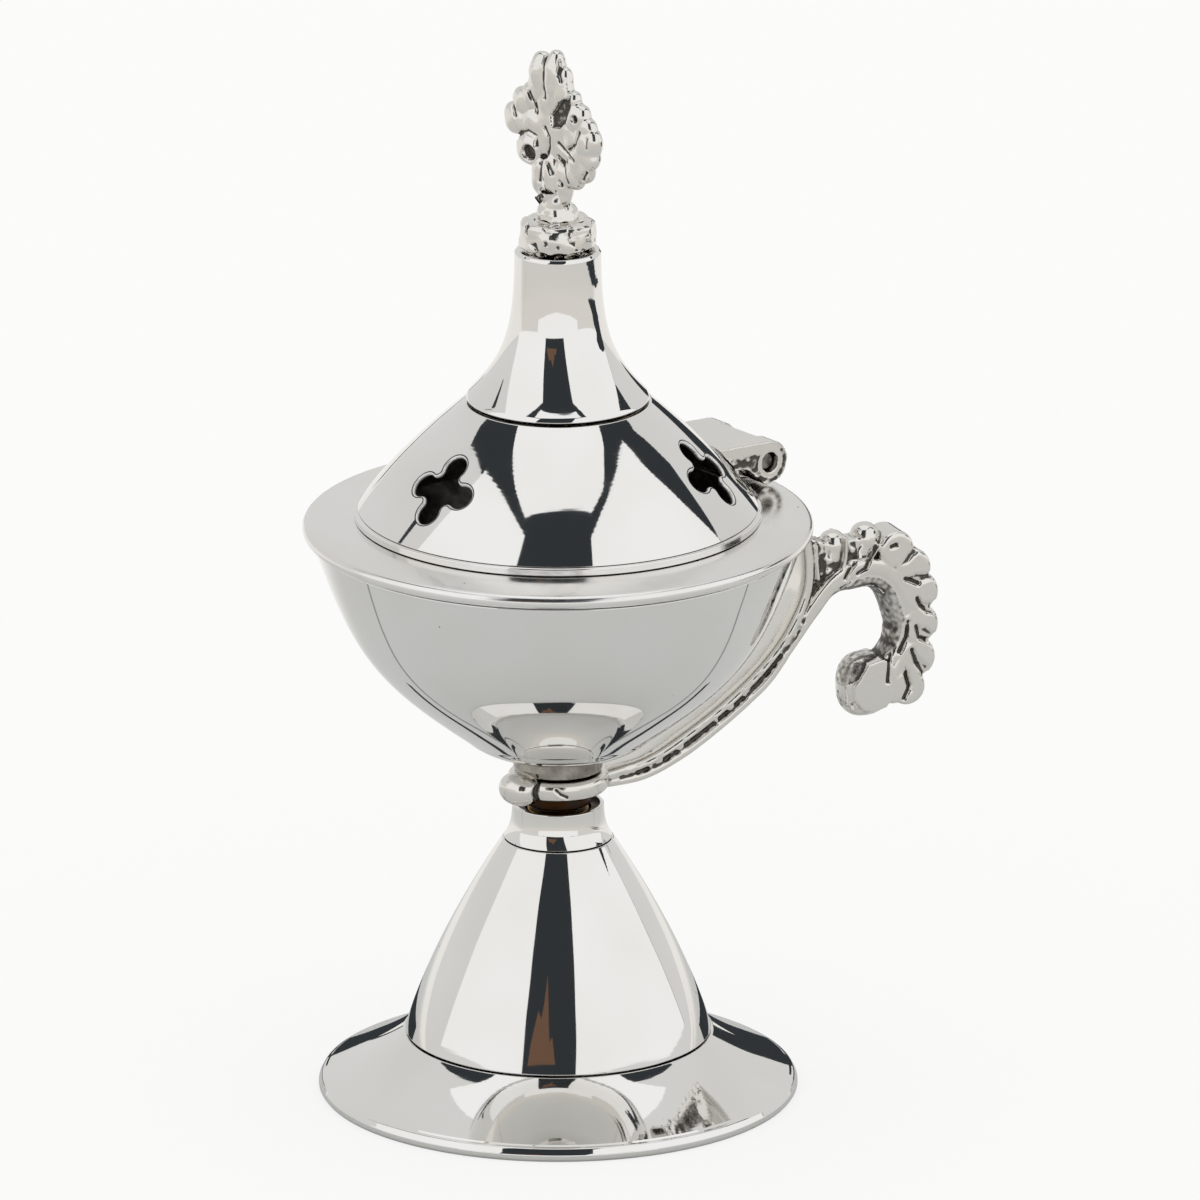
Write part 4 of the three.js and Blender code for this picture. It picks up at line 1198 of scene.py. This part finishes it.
class CENSER_OT_handle(bpy.types.Operator):
    """Casts the handle: its eye, the ribbed strap, the scroll, the roll, seven flat lobes and three buds"""

    bl_idname = "censer.handle"
    bl_label = "Handle"

    def execute(self, context):
        count = 90
        strap, strap_run = catmull(STRAP, count)
        away = np.stack([strap_run[:, 1], -strap_run[:, 0]], 1)  # from the bowl
        thick = np.interp(np.linspace(0, 1, count), [0, 0.15, 0.7, 1], [2.9, 3.9, 3.9, 1.8])
        edge, edge_run = catmull(BELLY_EDGE, 80)
        void = slab([(44, 66), *BELLY_EDGE[1:-1], (52.4, 66.6)], -6, 6)
        knob = (KNOB_RADIUS * math.cos(KNOB_TURN), KNOB_RADIUS * math.sin(KNOB_TURN), KNOB_Z)
        parts = [
            *self.strap(strap, strap_run, away, thick),
            bar(edge, edge_run, self.belly_section),
            moved(egg(ROLL_HALF[0], 3.35, ROLL_HALF[1], 2.5), (ROLL_MIDDLE[0], 0, ROLL_MIDDLE[1])),
            slab(ROLL_FACE, -3.45, 3.45),
            slab(CORNER, -1.9, 1.9),
            turned_solid(EYE, 72),
            moved(egg(3.1, 3.6, 2.6, 2.3), knob, turn_z=KNOB_TURN),
        ]
        for x, z, length, width, turn in FLAT_LOBES:
            lobe = moved(pebble(length, width, 3.4, 0.75), (x, 0, z), turn_y=-math.radians(turn))
            parts.append(cut(lobe, [void]))
        for root, middle, width, height, depth in BUDS:
            parts.append(moved(egg(width, depth, height, 2.1), (middle[0], 0, middle[1])))
            bend = ((root[0] + middle[0]) / 2, (root[1] + middle[1]) / 2 + 0.2)
            parts.append(bar(*catmull([root, bend, middle], 16), lambda t: oval(0.62 * width, 2.3, 3.0)))
        for rib in RIBS:
            parts.append(bar(*catmull(rib, 18), lambda t: oval(0.45, 3.3, 3.0)))

        def shape(points, normals):
            """Chisels the creases, roughens the strap's grooves and marks what is darkened with painted
            shade.
            """
            flat = points[:, [0, 2]]
            x, z = flat.T
            y = np.abs(points[:, 1])
            face = ramp(y, 2.4, 0.5)  # the two flat sides
            # a broken groove along the middle of the strap's sides, and a thin line nearer the bowl, both
            # sunk and darkened with painted shade
            strap_side = self.across_path(flat, strap, strap_run)
            groove = np.clip(1 - np.abs(strap_side - 0.25) / 0.45, 0, 1) * (y > 2.0) * (z < 73) * (x > 9)
            thin = np.clip(1 - np.abs(strap_side + 1.05) / 0.22, 0, 1) * (y > 2.4) * (z < 76) * (x > 10)
            thin = thin * np.clip(lumps(points, 1.6, 13) + 0.55, 0, 1)
            # the inner side of the scroll, and the roll's back, stay smooth and are darkened as painted shade
            belly_side = self.across_path(flat, edge, edge_run)
            ball = self.from_oval(flat, ROLL_MIDDLE, *ROLL_HALF)
            roll_back = inside(flat, np.array(ROLL_BACK)) * (ball < 1.15)
            inner_side = (belly_side > 0.15) * (belly_side < 3.2) * (x > 47) * (ball > 1.0)
            smooth_painted_shade = np.maximum(inner_side, roll_back) * np.clip((3.4 - y) / 0.2, 0, 1)
            wedge = np.maximum.reduce([sunk(flat, outline, 0.7) for outline in WEDGES]) * face
            chisel = grooves(flat, CREASES, 0.5) * face
            # the eye's creases, on its edge unrolled
            turn = np.degrees(np.arctan2(points[:, 1], points[:, 0])) % 360
            unrolled = np.stack([turn * EYE_STEP, points[:, 2]], 1)
            lines = [[(degrees * EYE_STEP, height) for degrees, height in path] for path in EYE_CREASES]
            radius = np.hypot(points[:, 0], points[:, 1])
            split = grooves(unrolled, lines, 0.42) * (radius > 6.6) * (radius < 11)
            # the ground behind the buds, darkened with painted shade
            deep = (y < 2.6) * (x > 41.5) * (x < 55) * (z > 73.5) * (np.abs(normals[:, 1]) > 0.6)
            for _, bud, width, height, _ in BUDS:
                deep = deep * (self.from_oval(flat, bud, width, height) > 1.0)
            push = 0.28 * groove * np.clip(lumps(points, 0.9, 3) + 0.25, 0, 1) + 0.3 * thin + 0.42 * wedge
            push = push + 0.7 * chisel + 0.5 * split + 0.2 * deep * lumps(points, 1.0, 8)
            # painted shade in the grooves, creases, wedges, the eye's splits, behind the buds and on the
            # scroll's inner side
            painted_shade_and_tarnish = [0.8 * groove, 0.6 * thin, 0.6 * smooth_painted_shade, 0.22 * wedge, 0.55 * deep]
            painted_shade_and_tarnish += [0.6 * chisel, 0.8 * split]
            return points - normals * push[:, None], np.maximum.reduce(painted_shade_and_tarnish)

        cast_piece("scroll_handle", melted(joined(parts), HANDLE_VOXEL), 3, "vessel", ["handle"], shape, 2.0)
        return {"FINISHED"}

    def strap(self, strap, strap_run, away, thick):
        """The strap: a leaf against the bowl, an uneven core, and a band that runs on as the scroll."""

        def leaf_section(t):
            half = min(1.0, math.sqrt(max(0.02, 1 - max(0.0, (t - 0.94) / 0.06) ** 2)))
            return oval(half, 3.5 * half, 3.4)

        def core_section(t):
            bridge = max(0.0, noise.noise(Vector((t * 60, 0.4, 0))) + 0.12) * 3.2
            thickness = np.interp(t * core_end / len(strap), [0, 0.15, 1], [1.2, 1.5, 1.5])
            return oval(thickness, min(3.35, 2.7 + bridge), 5.0)

        def band_section(t):
            thickness = np.interp(t, [0, 0.45, 0.55, 1], [0.75, 0.75, 1.4, 1.3])
            return oval(thickness, np.interp(t, [0, 0.5, 1], [3.5, 3.45, 3.3]), 5.0, 44)

        core_end = 64  # the core ends where the strap reaches the scroll
        leaf = strap + away * (1.0 - thick / 2)[:, None]
        outer = [tuple(strap[i] + away[i] * (thick[i] / 2 - 0.75)) for i in (0, 10, 20, 30, 40, 47)]
        return (
            bar(leaf, tangents_of(leaf), leaf_section),
            bar(strap[:core_end], strap_run[:core_end], core_section),
            bar(*catmull([*outer, *SCROLL], 170), band_section),
        )

    def belly_section(self, t):
        return oval(np.interp(t, [0, 0.2, 0.8, 1], [0.8, 2.3, 2.3, 1.4]), 3.2, 2.3) + (0.1, 0)

    def across_path(self, flat, path, run):
        """How far each point lies to the right of a path in its plane."""
        nearest = np.argmin(np.hypot(*(flat[:, None] - path).T), 0)
        right = np.stack([run[:, 1], -run[:, 0]], 1)
        return ((flat - path[nearest]) * right[nearest]).sum(1)

    def from_oval(self, flat, middle, half_x, half_z):
        """Distance from the middle of an oval: 1 on its edge."""
        return np.hypot((flat[:, 0] - middle[0]) / half_x, (flat[:, 1] - middle[1]) / half_z)


class CENSER_OT_hinge(bpy.types.Operator):
    """Casts the two halves of the hinge and drives in the pin"""

    bl_idname = "censer.hinge"
    bl_label = "Hinge"

    def execute(self, context):
        bore = slab(arc(PIN_BORE, 0, 2 * math.pi, 32)[:-1], -10, 10)
        lug = [(-3.6, -3.1), (2.3, -3.7), *arc(LUG_RADIUS, -0.4, math.pi, 28), (-3.6, -1.5)]
        lug = self.hung(cut(slab(lug, -LUG_HALF_WIDTH, LUG_HALF_WIDTH), [bore]))
        cast_piece("hinge_knuckle", melted(lug, HINGE_VOXEL), 3, "vessel", ["hinge_lug"], None, 7.0)
        top = KNUCKLE_RADIUS + LEAF_REACH * math.tan(LEAF_SLOPE)
        cheek = [
            *arc(KNUCKLE_RADIUS, -math.pi * 0.62, math.pi / 2 - LEAF_SLOPE, 24),
            (-LEAF_REACH, top), (-LEAF_REACH, 0.4), (-4.5, -0.3),
        ]
        plate = [
            (KNUCKLE_RADIUS * math.sin(LEAF_SLOPE), KNUCKLE_RADIUS * math.cos(LEAF_SLOPE)),
            (-LEAF_REACH, top), (-LEAF_REACH, top - LEAF_THICKNESS),
            *arc(LUG_RADIUS + 0.3, math.pi * 0.8, math.pi / 2, 12),
        ]
        dome = bezier(DOME_CURVE, 24) + 0.3
        space = turned_solid([(0, 90), (32.3, 90), (32.3, 95.8), *map(tuple, dome), (0, 113.4)], 240)
        parts = [
            cut(self.hung(cut(slab(outline, low, high), [bore])), [space])
            for outline, low, high in (
                (cheek, CHEEK_INNER_Y, HINGE_HALF_WIDTH),
                (cheek, -HINGE_HALF_WIDTH, -CHEEK_INNER_Y),
                (plate, -HINGE_HALF_WIDTH, HINGE_HALF_WIDTH),
            )
        ]

        def shape(p, normals):
            """The near and far cheeks stay as the sand left them, and are darkened with painted shade."""
            x, y, z = (moved((p, None), turn_z=-HINGE_TURN)[0] - (HINGE_X, 0, HINGE_Z)).T
            cheek_grain_and_painted_shade = np.clip((2.2 - z) / 0.8, 0, 1) * (np.abs(y) > 7.0) * (np.hypot(x, z) > 2.5)
            push = 0.22 * cheek_grain_and_painted_shade * np.clip(lumps(p, 1.1, 2) + 0.1, -0.3, 1)
            return p - normals * push[:, None], 0.72 * cheek_grain_and_painted_shade

        leaf = melted(joined(parts), HINGE_VOXEL)
        cast_piece("hinge_leaf_cast", leaf, 3, "lid", ["hinge_leaf"], shape, 1.0)
        pin = self.hung(slab(arc(1.4, 0, 2 * math.pi, 48)[:-1], -6.9, 6.9))
        mesh_piece("steel_pin", *bevelled(pin, 0.3, 3), ["steel"], "vessel", "steel", ["hinge_pin"])
        return {"FINISHED"}

    def hung(self, solid):
        """A solid drawn round the pin, at its place on the censer."""
        return moved(moved(solid, (HINGE_X, 0, HINGE_Z)), turn_z=HINGE_TURN)


class CENSER_OT_finial(bpy.types.Operator):
    """Casts the cap and the cross on top"""

    bl_idname = "censer.finial"
    bl_label = "Finial"

    def execute(self, context):
        cap = [
            (2.1, 138), (5.9, 138), (6.15, 138.5), (6.1, 139.6), (6.05, 141.2), (5.9, 142.1), (5.4, 142.7),
            (4.4, 142.9), (2.1, 142.8),
        ]

        def dent(p, normals):
            """The cap left the sand lumpy, and was only half dressed; its pits are darkened with painted
            shade.
            """
            side = ramp(np.hypot(p[:, 0], p[:, 1]), 3.0, 0.6)
            pit = np.clip(lumps(p, 1.3, 21) - 0.45, 0, 0.5)
            low = np.clip(1 - (p[:, 2] - 138) / 1.0, 0, 1) * side
            p = p + normals * (side * (0.22 * lumps(p, 2.4, 11) - 0.9 * pit - 0.12))[:, None]
            p[:, 2] += low * np.clip(0.3 + 0.4 * lumps(p * (1, 1, 0), 2.6, 31), 0, 0.8)
            # painted shade in the pits
            return p, 1.1 * pit * side

        cap = melted(turned_solid(cap), FINIAL_VOXEL)
        cast_piece("finial_drum", cap, 2, "lid", ["finial_cap"], dent, 4.0)
        self.cross()
        return {"FINISHED"}

    def cross(self):
        """A budded cross: fused lobes with chased lines, pits and one hollow, on a short round foot."""
        middle = CROSS_MIDDLE_Z
        parts = [moved(egg(w, d, h, 2.4), (x, 0, z + middle)) for x, z, w, h, d in CROSS_LOBES]
        foot = [(3.1, CROSS_BASE_Z), (3.0, 143.8), (2.4, 145), (2.6, 147.4)]
        foot = [(STUD_BORE, CROSS_BASE_Z), *foot, (STUD_BORE, 147.4)]
        parts.append(turned_solid(foot, 48))
        hole = turned_solid([(0, 130), (STUD_BORE, 130), (STUD_BORE, 146.4), (0, 146.4)], 40)
        solid = moved(cut(melted(joined(parts), FINIAL_VOXEL), [hole]), turn_z=CROSS_TURN)

        def chase(p, normals):
            """Cuts the lines, the pits and the hollow, darkens them with painted shade, and leans the cross a
            little.
            """
            flat = (moved((p, None), turn_z=-CROSS_TURN)[0] - (0, 0, middle))[:, [0, 2]]
            line = grooves(flat, CROSS_LINES, 0.5)
            pit = np.maximum.reduce([
                np.clip((radius + 0.15 - np.hypot(flat[:, 0] - x, flat[:, 1] - z)) / 0.3, 0, 1)
                for x, z, radius in CROSS_PITS
            ])
            hollow = sunk(flat, CROSS_HOLLOW, 0.5)
            face = ramp(np.abs(normals @ (-math.sin(CROSS_TURN), math.cos(CROSS_TURN), 0)), 0.1, 0.25)
            rugged = 0.12 + 0.2 * np.clip((148 - p[:, 2]) / 2, 0, 1)
            worn = np.clip(0.75 + 0.5 * lumps(p, 3.0, 41), 0.3, 1)
            push = face * np.maximum.reduce([0.6 * line * worn, 1.1 * pit, 0.85 * hollow])
            p = p - normals * (push + rugged * lumps(p, 2.2, 17))[:, None]
            lean = ramp(p[:, 2], 144, 4)[:, None]
            # painted shade in the chased lines, the pits and the hollow
            return p + lean * CROSS_LEAN, face * np.maximum.reduce([0.35 * line, 0.9 * pit, 0.55 * hollow])

        cast_piece("budded_cross", solid, 2, "lid", ["finial_cross"], chase, 6.0)


# Operators: the studio


def level(height, outline, spread=1.0):
    """An outline seen from above, at one height of the set."""
    return [(x * spread, y * spread, height) for x, y in outline]


MIDDLE_Z = 0.09  # height of the set's middle in metres
GROUND = -0.0745  # just above the floor
PAPER_SHINE = 0.72  # how much of the paper's white doesn't depend on the light
JOINT_BEHIND, JOINT_HALF, JOINT_DARK = 0.031, 0.0014, 0.6  # metres behind the axis, half width, darkness
FLOOR_HALF = 6.0  # metres
# Cards that only the metal sees: name, colour, and corners to the right, toward the camera and up, in heights
# of the screens
CARDS = [
    ("left_screen", "screen", [
        (-0.27, 0.53, 0.06), (-0.305, 0.495, 1), (-0.72, -0.04, 1), (-0.8, -0.12, 0.0),
    ]),
    ("right_screen", "screen", [
        (0.125, 0.57, 0.06), (0.30, 0.50, 1), (0.73, -0.17, 1), (1.0, -0.4, 0.56), (1.25, -0.6, 0.0),
        (0.7, 0.0, 0.0),
    ]),
    ("low_screen", "screen", [(-1.0, 0.9, -0.06), (1.0, 0.9, -0.06), (1.0, 0.9, 0.13), (-1.0, 0.9, 0.13)]),
    ("overhead_screen", "screen", level(1.1, [
        (-0.30, 0.41), (0.0, 0.415), (0.30, 0.39), (0.42, 0.24), (0.485, 0.05), (0.50, -0.1), (0.60, -0.45),
        (-0.60, -0.45), (-0.50, -0.1), (-0.47, 0.08), (-0.39, 0.26),
    ], 1.1)),
    ("ceiling", "room", level(1.3, [
        (-1.0, 1.4), (1.0, 1.4), (0.75, -0.1), (0.91, -0.44), (0.92, -0.55), (0.5, -0.15), (-0.52, -0.2),
        (-0.98, -0.62), (-0.98, -0.5), (-0.75, -0.05),
    ], 1.3)),
    ("brown_door", "wood", [
        (-0.7, 1.6, 0.42), (-0.08, 1.6, 0.42), (-0.14, 1.6, 0.6), (-0.2, 1.6, 0.56), (-0.3, 1.6, 0.98),
        (-0.42, 1.6, 0.72), (-0.52, 1.6, 0.78), (-0.66, 1.6, 0.55),
    ]),
    ("low_strip", "room", [
        (-0.055, -0.0345, GROUND), (0.055, -0.0345, GROUND), (0.055, -0.0345, GROUND + 0.005),
        (-0.055, -0.0345, GROUND + 0.0045),
    ]),
    ("back_strip", "room", [
        (-0.45, -1.3, GROUND), (0.62, -1.3, GROUND), (0.62, -1.3, 0.2), (0.25, -1.3, 0.165),
        (0.02, -1.3, -0.03), (-0.45, -1.3, -0.045),
    ]),
    ("wavy_strip_top", "room", level(GROUND, [
        (0.34, 0.12), (0.38, 0.04), (0.4, -0.01), (0.42, -0.08), (0.39, -0.19), (0.29, -0.28),
        (0.35, -0.19), (0.35, -0.12), (0.36, -0.03), (0.36, 0.06),
    ])),
    ("wavy_strip_middle", "room", level(GROUND, [
        (0.54, 0.07), (0.69, -0.02), (0.88, -0.09), (0.64, -0.31), (0.57, -0.23), (0.49, -0.16),
    ])),
    ("wavy_strip_low", "room", [
        (0.129, -0.005, 0.016), (0.128, -0.008, 0.021), (0.125, -0.017, 0.026), (0.127, -0.009, 0.034),
        (0.125, -0.017, 0.042), (0.121, -0.033, 0.042), (0.116, -0.048, 0.035), (0.116, -0.05, 0.027),
        (0.116, -0.049, 0.021), (0.116, -0.049, 0.016), (0.117, -0.046, 0.012),
    ]),
    ("right_seam", "room", [
        (0.725, -0.165, 1.0), (0.995, -0.395, 0.56), (1.25, -0.6, 0.0), (1.28, -0.625, 0.0),
        (1.02, -0.415, 0.56), (0.745, -0.185, 1.0),
    ]),
    ("room_front", "room", [(-1.3, 1.8, 0.20), (1.3, 1.8, 0.20), (1.5, 1.8, 2.2), (-1.5, 1.8, 2.2)]),
    ("right_gap", "room", level(1.02, [
        (0.74, -0.16), (0.92, -0.5), (1.24, -0.79), (1.83, -0.80), (1.83, -0.72),
    ])),
    ("left_gap", "room", level(1.02, [(-2.1, -0.80), (-2.05, -0.72), (-1.15, -0.38), (-1.2, -0.50)])),
]
GLOWS = {"screen": "screen_white", "room": "room_dark", "wood": "brown_wood"}  # material for each colour


class CENSER_OT_studio(bpy.types.Operator):
    """Sets the pale floor, the white screens, the dark gaps between them and the camera"""

    bl_idname = "censer.studio"
    bl_label = "Studio"

    def execute(self, context):
        scene = context.scene
        studio = scene.censer_studio
        right = Vector((math.cos(studio.azimuth), math.sin(studio.azimuth), 0))
        toward = Vector((math.sin(studio.azimuth), -math.cos(studio.azimuth), 0))
        middle = Vector((AXIS * MM, 0, MIDDLE_Z))
        glows = {colour: self.glow(name, getattr(studio, colour)) for colour, name in GLOWS.items()}
        up = Vector((0, 0, 1))
        for name, colour, corners in CARDS:
            spots = [middle + (right * x + toward * y + up * z) * studio.reach for x, y, z in corners]
            card = self.sheet(name, glows[colour], spots)
            for way in ("camera", "diffuse", "shadow", "volume_scatter"):
                setattr(card, f"visible_{way}", False)
        self.floor(studio, toward)
        self.world(scene)
        self.camera(scene, toward)
        return {"FINISHED"}

    def glow(self, name, colour):
        """A surface that shines evenly, so that its reflection has one flat colour."""
        material, tree = blank_material(name)
        shader = add(tree, "ShaderNodeEmission", None, {"Color": rgba(colour), "Strength": 1.0})
        surface(tree, shader.outputs[0])
        return material

    def sheet(self, name, material, corners):
        """A flat sheet of one material."""
        mesh = bpy.data.meshes.new(name)
        mesh.from_pydata([tuple(c) for c in corners], [], [tuple(range(len(corners)))])
        mesh.materials.append(material)
        made = bpy.data.objects.new(name, mesh)
        bpy.context.scene.collection.objects.link(made)
        return made

    def looks(self, tree):
        """Whether the camera looks at a place, and whether it is seen in the metal."""
        path = add(tree, "ShaderNodeLightPath").outputs
        by_metal = calculate(tree, "MAXIMUM", path["Is Glossy Ray"], path["Is Transmission Ray"])
        return path["Is Camera Ray"], by_metal

    def floor(self, studio, toward):
        """Matt white paper. The camera sees it white, with the censer's shadow. The metal sees it grey near
        the censer, as painted shade of the censer and the screens, lighter far off, with the joint between
        two sheets behind the foot."""
        material, tree = blank_material("matt_white_paper")
        place, from_axis = coordinates(tree)
        forward = vectors(tree, "DOT_PRODUCT", from_axis, tuple(toward))[1]
        # painted shade: the paper that the metal sees is greyer near the censer, fading to the far paper by
        # 0.7 m
        painted_shade_fade = fade(tree, vectors(tree, "LENGTH", from_axis)[1], 0.1, 0.7, 0.0, 1.0)
        back = fade(tree, forward, -0.22, -0.1, 1.0, 0.0, "SMOOTHSTEP")
        gap = calculate(tree, "COMPARE", forward, -JOINT_BEHIND, JOINT_HALF)
        joint = calculate(tree, "MULTIPLY", gap, JOINT_DARK)
        sheets = mix(tree, back, mix(tree, painted_shade_fade, studio.paper, studio.far_paper), studio.back_paper)
        by_camera, by_metal = self.looks(tree)
        colour = mix(tree, by_metal, studio.floor, mix(tree, joint, sheets, studio.joint))
        fibres = bump(tree, 0.0001, speckle(tree, place, 900.0, 3.0), strength=0.2)  # about 1 mm apart
        paper = add(tree, "ShaderNodeBsdfDiffuse", None, {"Color": colour, "Normal": fibres}).outputs[0]
        shine = {"Color": rgba(studio.white), "Strength": 1.0}
        light = add(tree, "ShaderNodeEmission", None, shine).outputs[0]
        lit = calculate(tree, "MULTIPLY", by_camera, PAPER_SHINE)
        surface(tree, add(tree, "ShaderNodeMixShader", None, {0: lit, 1: paper, 2: light}).outputs[0])
        corners = [(x * FLOOR_HALF, y * FLOOR_HALF, 0) for x, y in ((-1, -1), (1, -1), (1, 1), (-1, 1))]
        floor = self.sheet("floor", material, corners)

    def world(self, scene):
        """White for the camera and for the light on matt things, and a pale grey backdrop for the metal."""
        studio = scene.censer_studio
        scene.world = bpy.data.worlds.new("studio")
        scene.world.use_nodes = True
        tree = scene.world.node_tree
        tree.nodes.clear()
        colour = mix(tree, self.looks(tree)[1], studio.white, studio.backdrop)
        background = add(tree, "ShaderNodeBackground", None, {"Color": colour, "Strength": 1.0})
        surface(tree, background.outputs[0], "ShaderNodeOutputWorld")

    def camera(self, scene, toward):
        """A long lens, so near parallel, with the turning axis a little left of the middle."""
        studio = scene.censer_studio
        data = bpy.data.cameras.new("camera")
        camera = bpy.data.objects.new("camera", data)
        scene.collection.objects.link(camera)
        back = toward * math.cos(studio.elevation) + Vector((0, 0, math.sin(studio.elevation)))
        aim = Vector(CAMERA_AIM) * MM
        data.sensor_width = 36.0
        data.lens = data.sensor_width * studio.distance / (IMAGE_SIDE * studio.pixel)
        data.clip_start, data.clip_end = 0.1, 100
        camera.location = aim + back * studio.distance
        camera.rotation_mode = "QUATERNION"
        camera.rotation_quaternion = (-back).to_track_quat("-Z", "Y")
        scene.camera = camera
        scene.view_settings.view_transform = "Standard"


class CENSER_PT_panel(bpy.types.Panel):
    """Lists the steps that build the censer"""

    bl_label = "Hand Censer"
    bl_idname = "CENSER_PT_panel"
    bl_space_type = "VIEW_3D"
    bl_region_type = "UI"
    bl_category = "Censer"

    def draw(self, context):
        for group in (context.scene.censer_sizes, context.scene.censer_finishes, context.scene.censer_studio):
            box = self.layout.box()
            for name in group.__annotations__:
                box.prop(group, name)
        for step in STEPS:
            self.layout.operator(step.bl_idname)


STEPS = (
    CENSER_OT_studio,
    CENSER_OT_foot,
    CENSER_OT_bowl,
    CENSER_OT_lid,
    CENSER_OT_fixings,
    CENSER_OT_dish,
    CENSER_OT_handle,
    CENSER_OT_hinge,
    CENSER_OT_finial,
)
CLASSES = (CenserSizes, CenserFinishes, CenserStudio, *STEPS, CENSER_PT_panel)


def register():
    for cls in CLASSES:
        bpy.utils.register_class(cls)
    bpy.types.Scene.censer_sizes = bpy.props.PointerProperty(type=CenserSizes)
    bpy.types.Scene.censer_finishes = bpy.props.PointerProperty(type=CenserFinishes)
    bpy.types.Scene.censer_studio = bpy.props.PointerProperty(type=CenserStudio)


def unregister():
    del bpy.types.Scene.censer_sizes
    del bpy.types.Scene.censer_finishes
    del bpy.types.Scene.censer_studio
    for cls in reversed(CLASSES):
        bpy.utils.unregister_class(cls)


def main():
    """Builds the whole censer."""
    register()
    for step in STEPS:
        group, name = step.bl_idname.split(".")
        getattr(getattr(bpy.ops, group), name)()


if __name__ == "__main__":
    main()
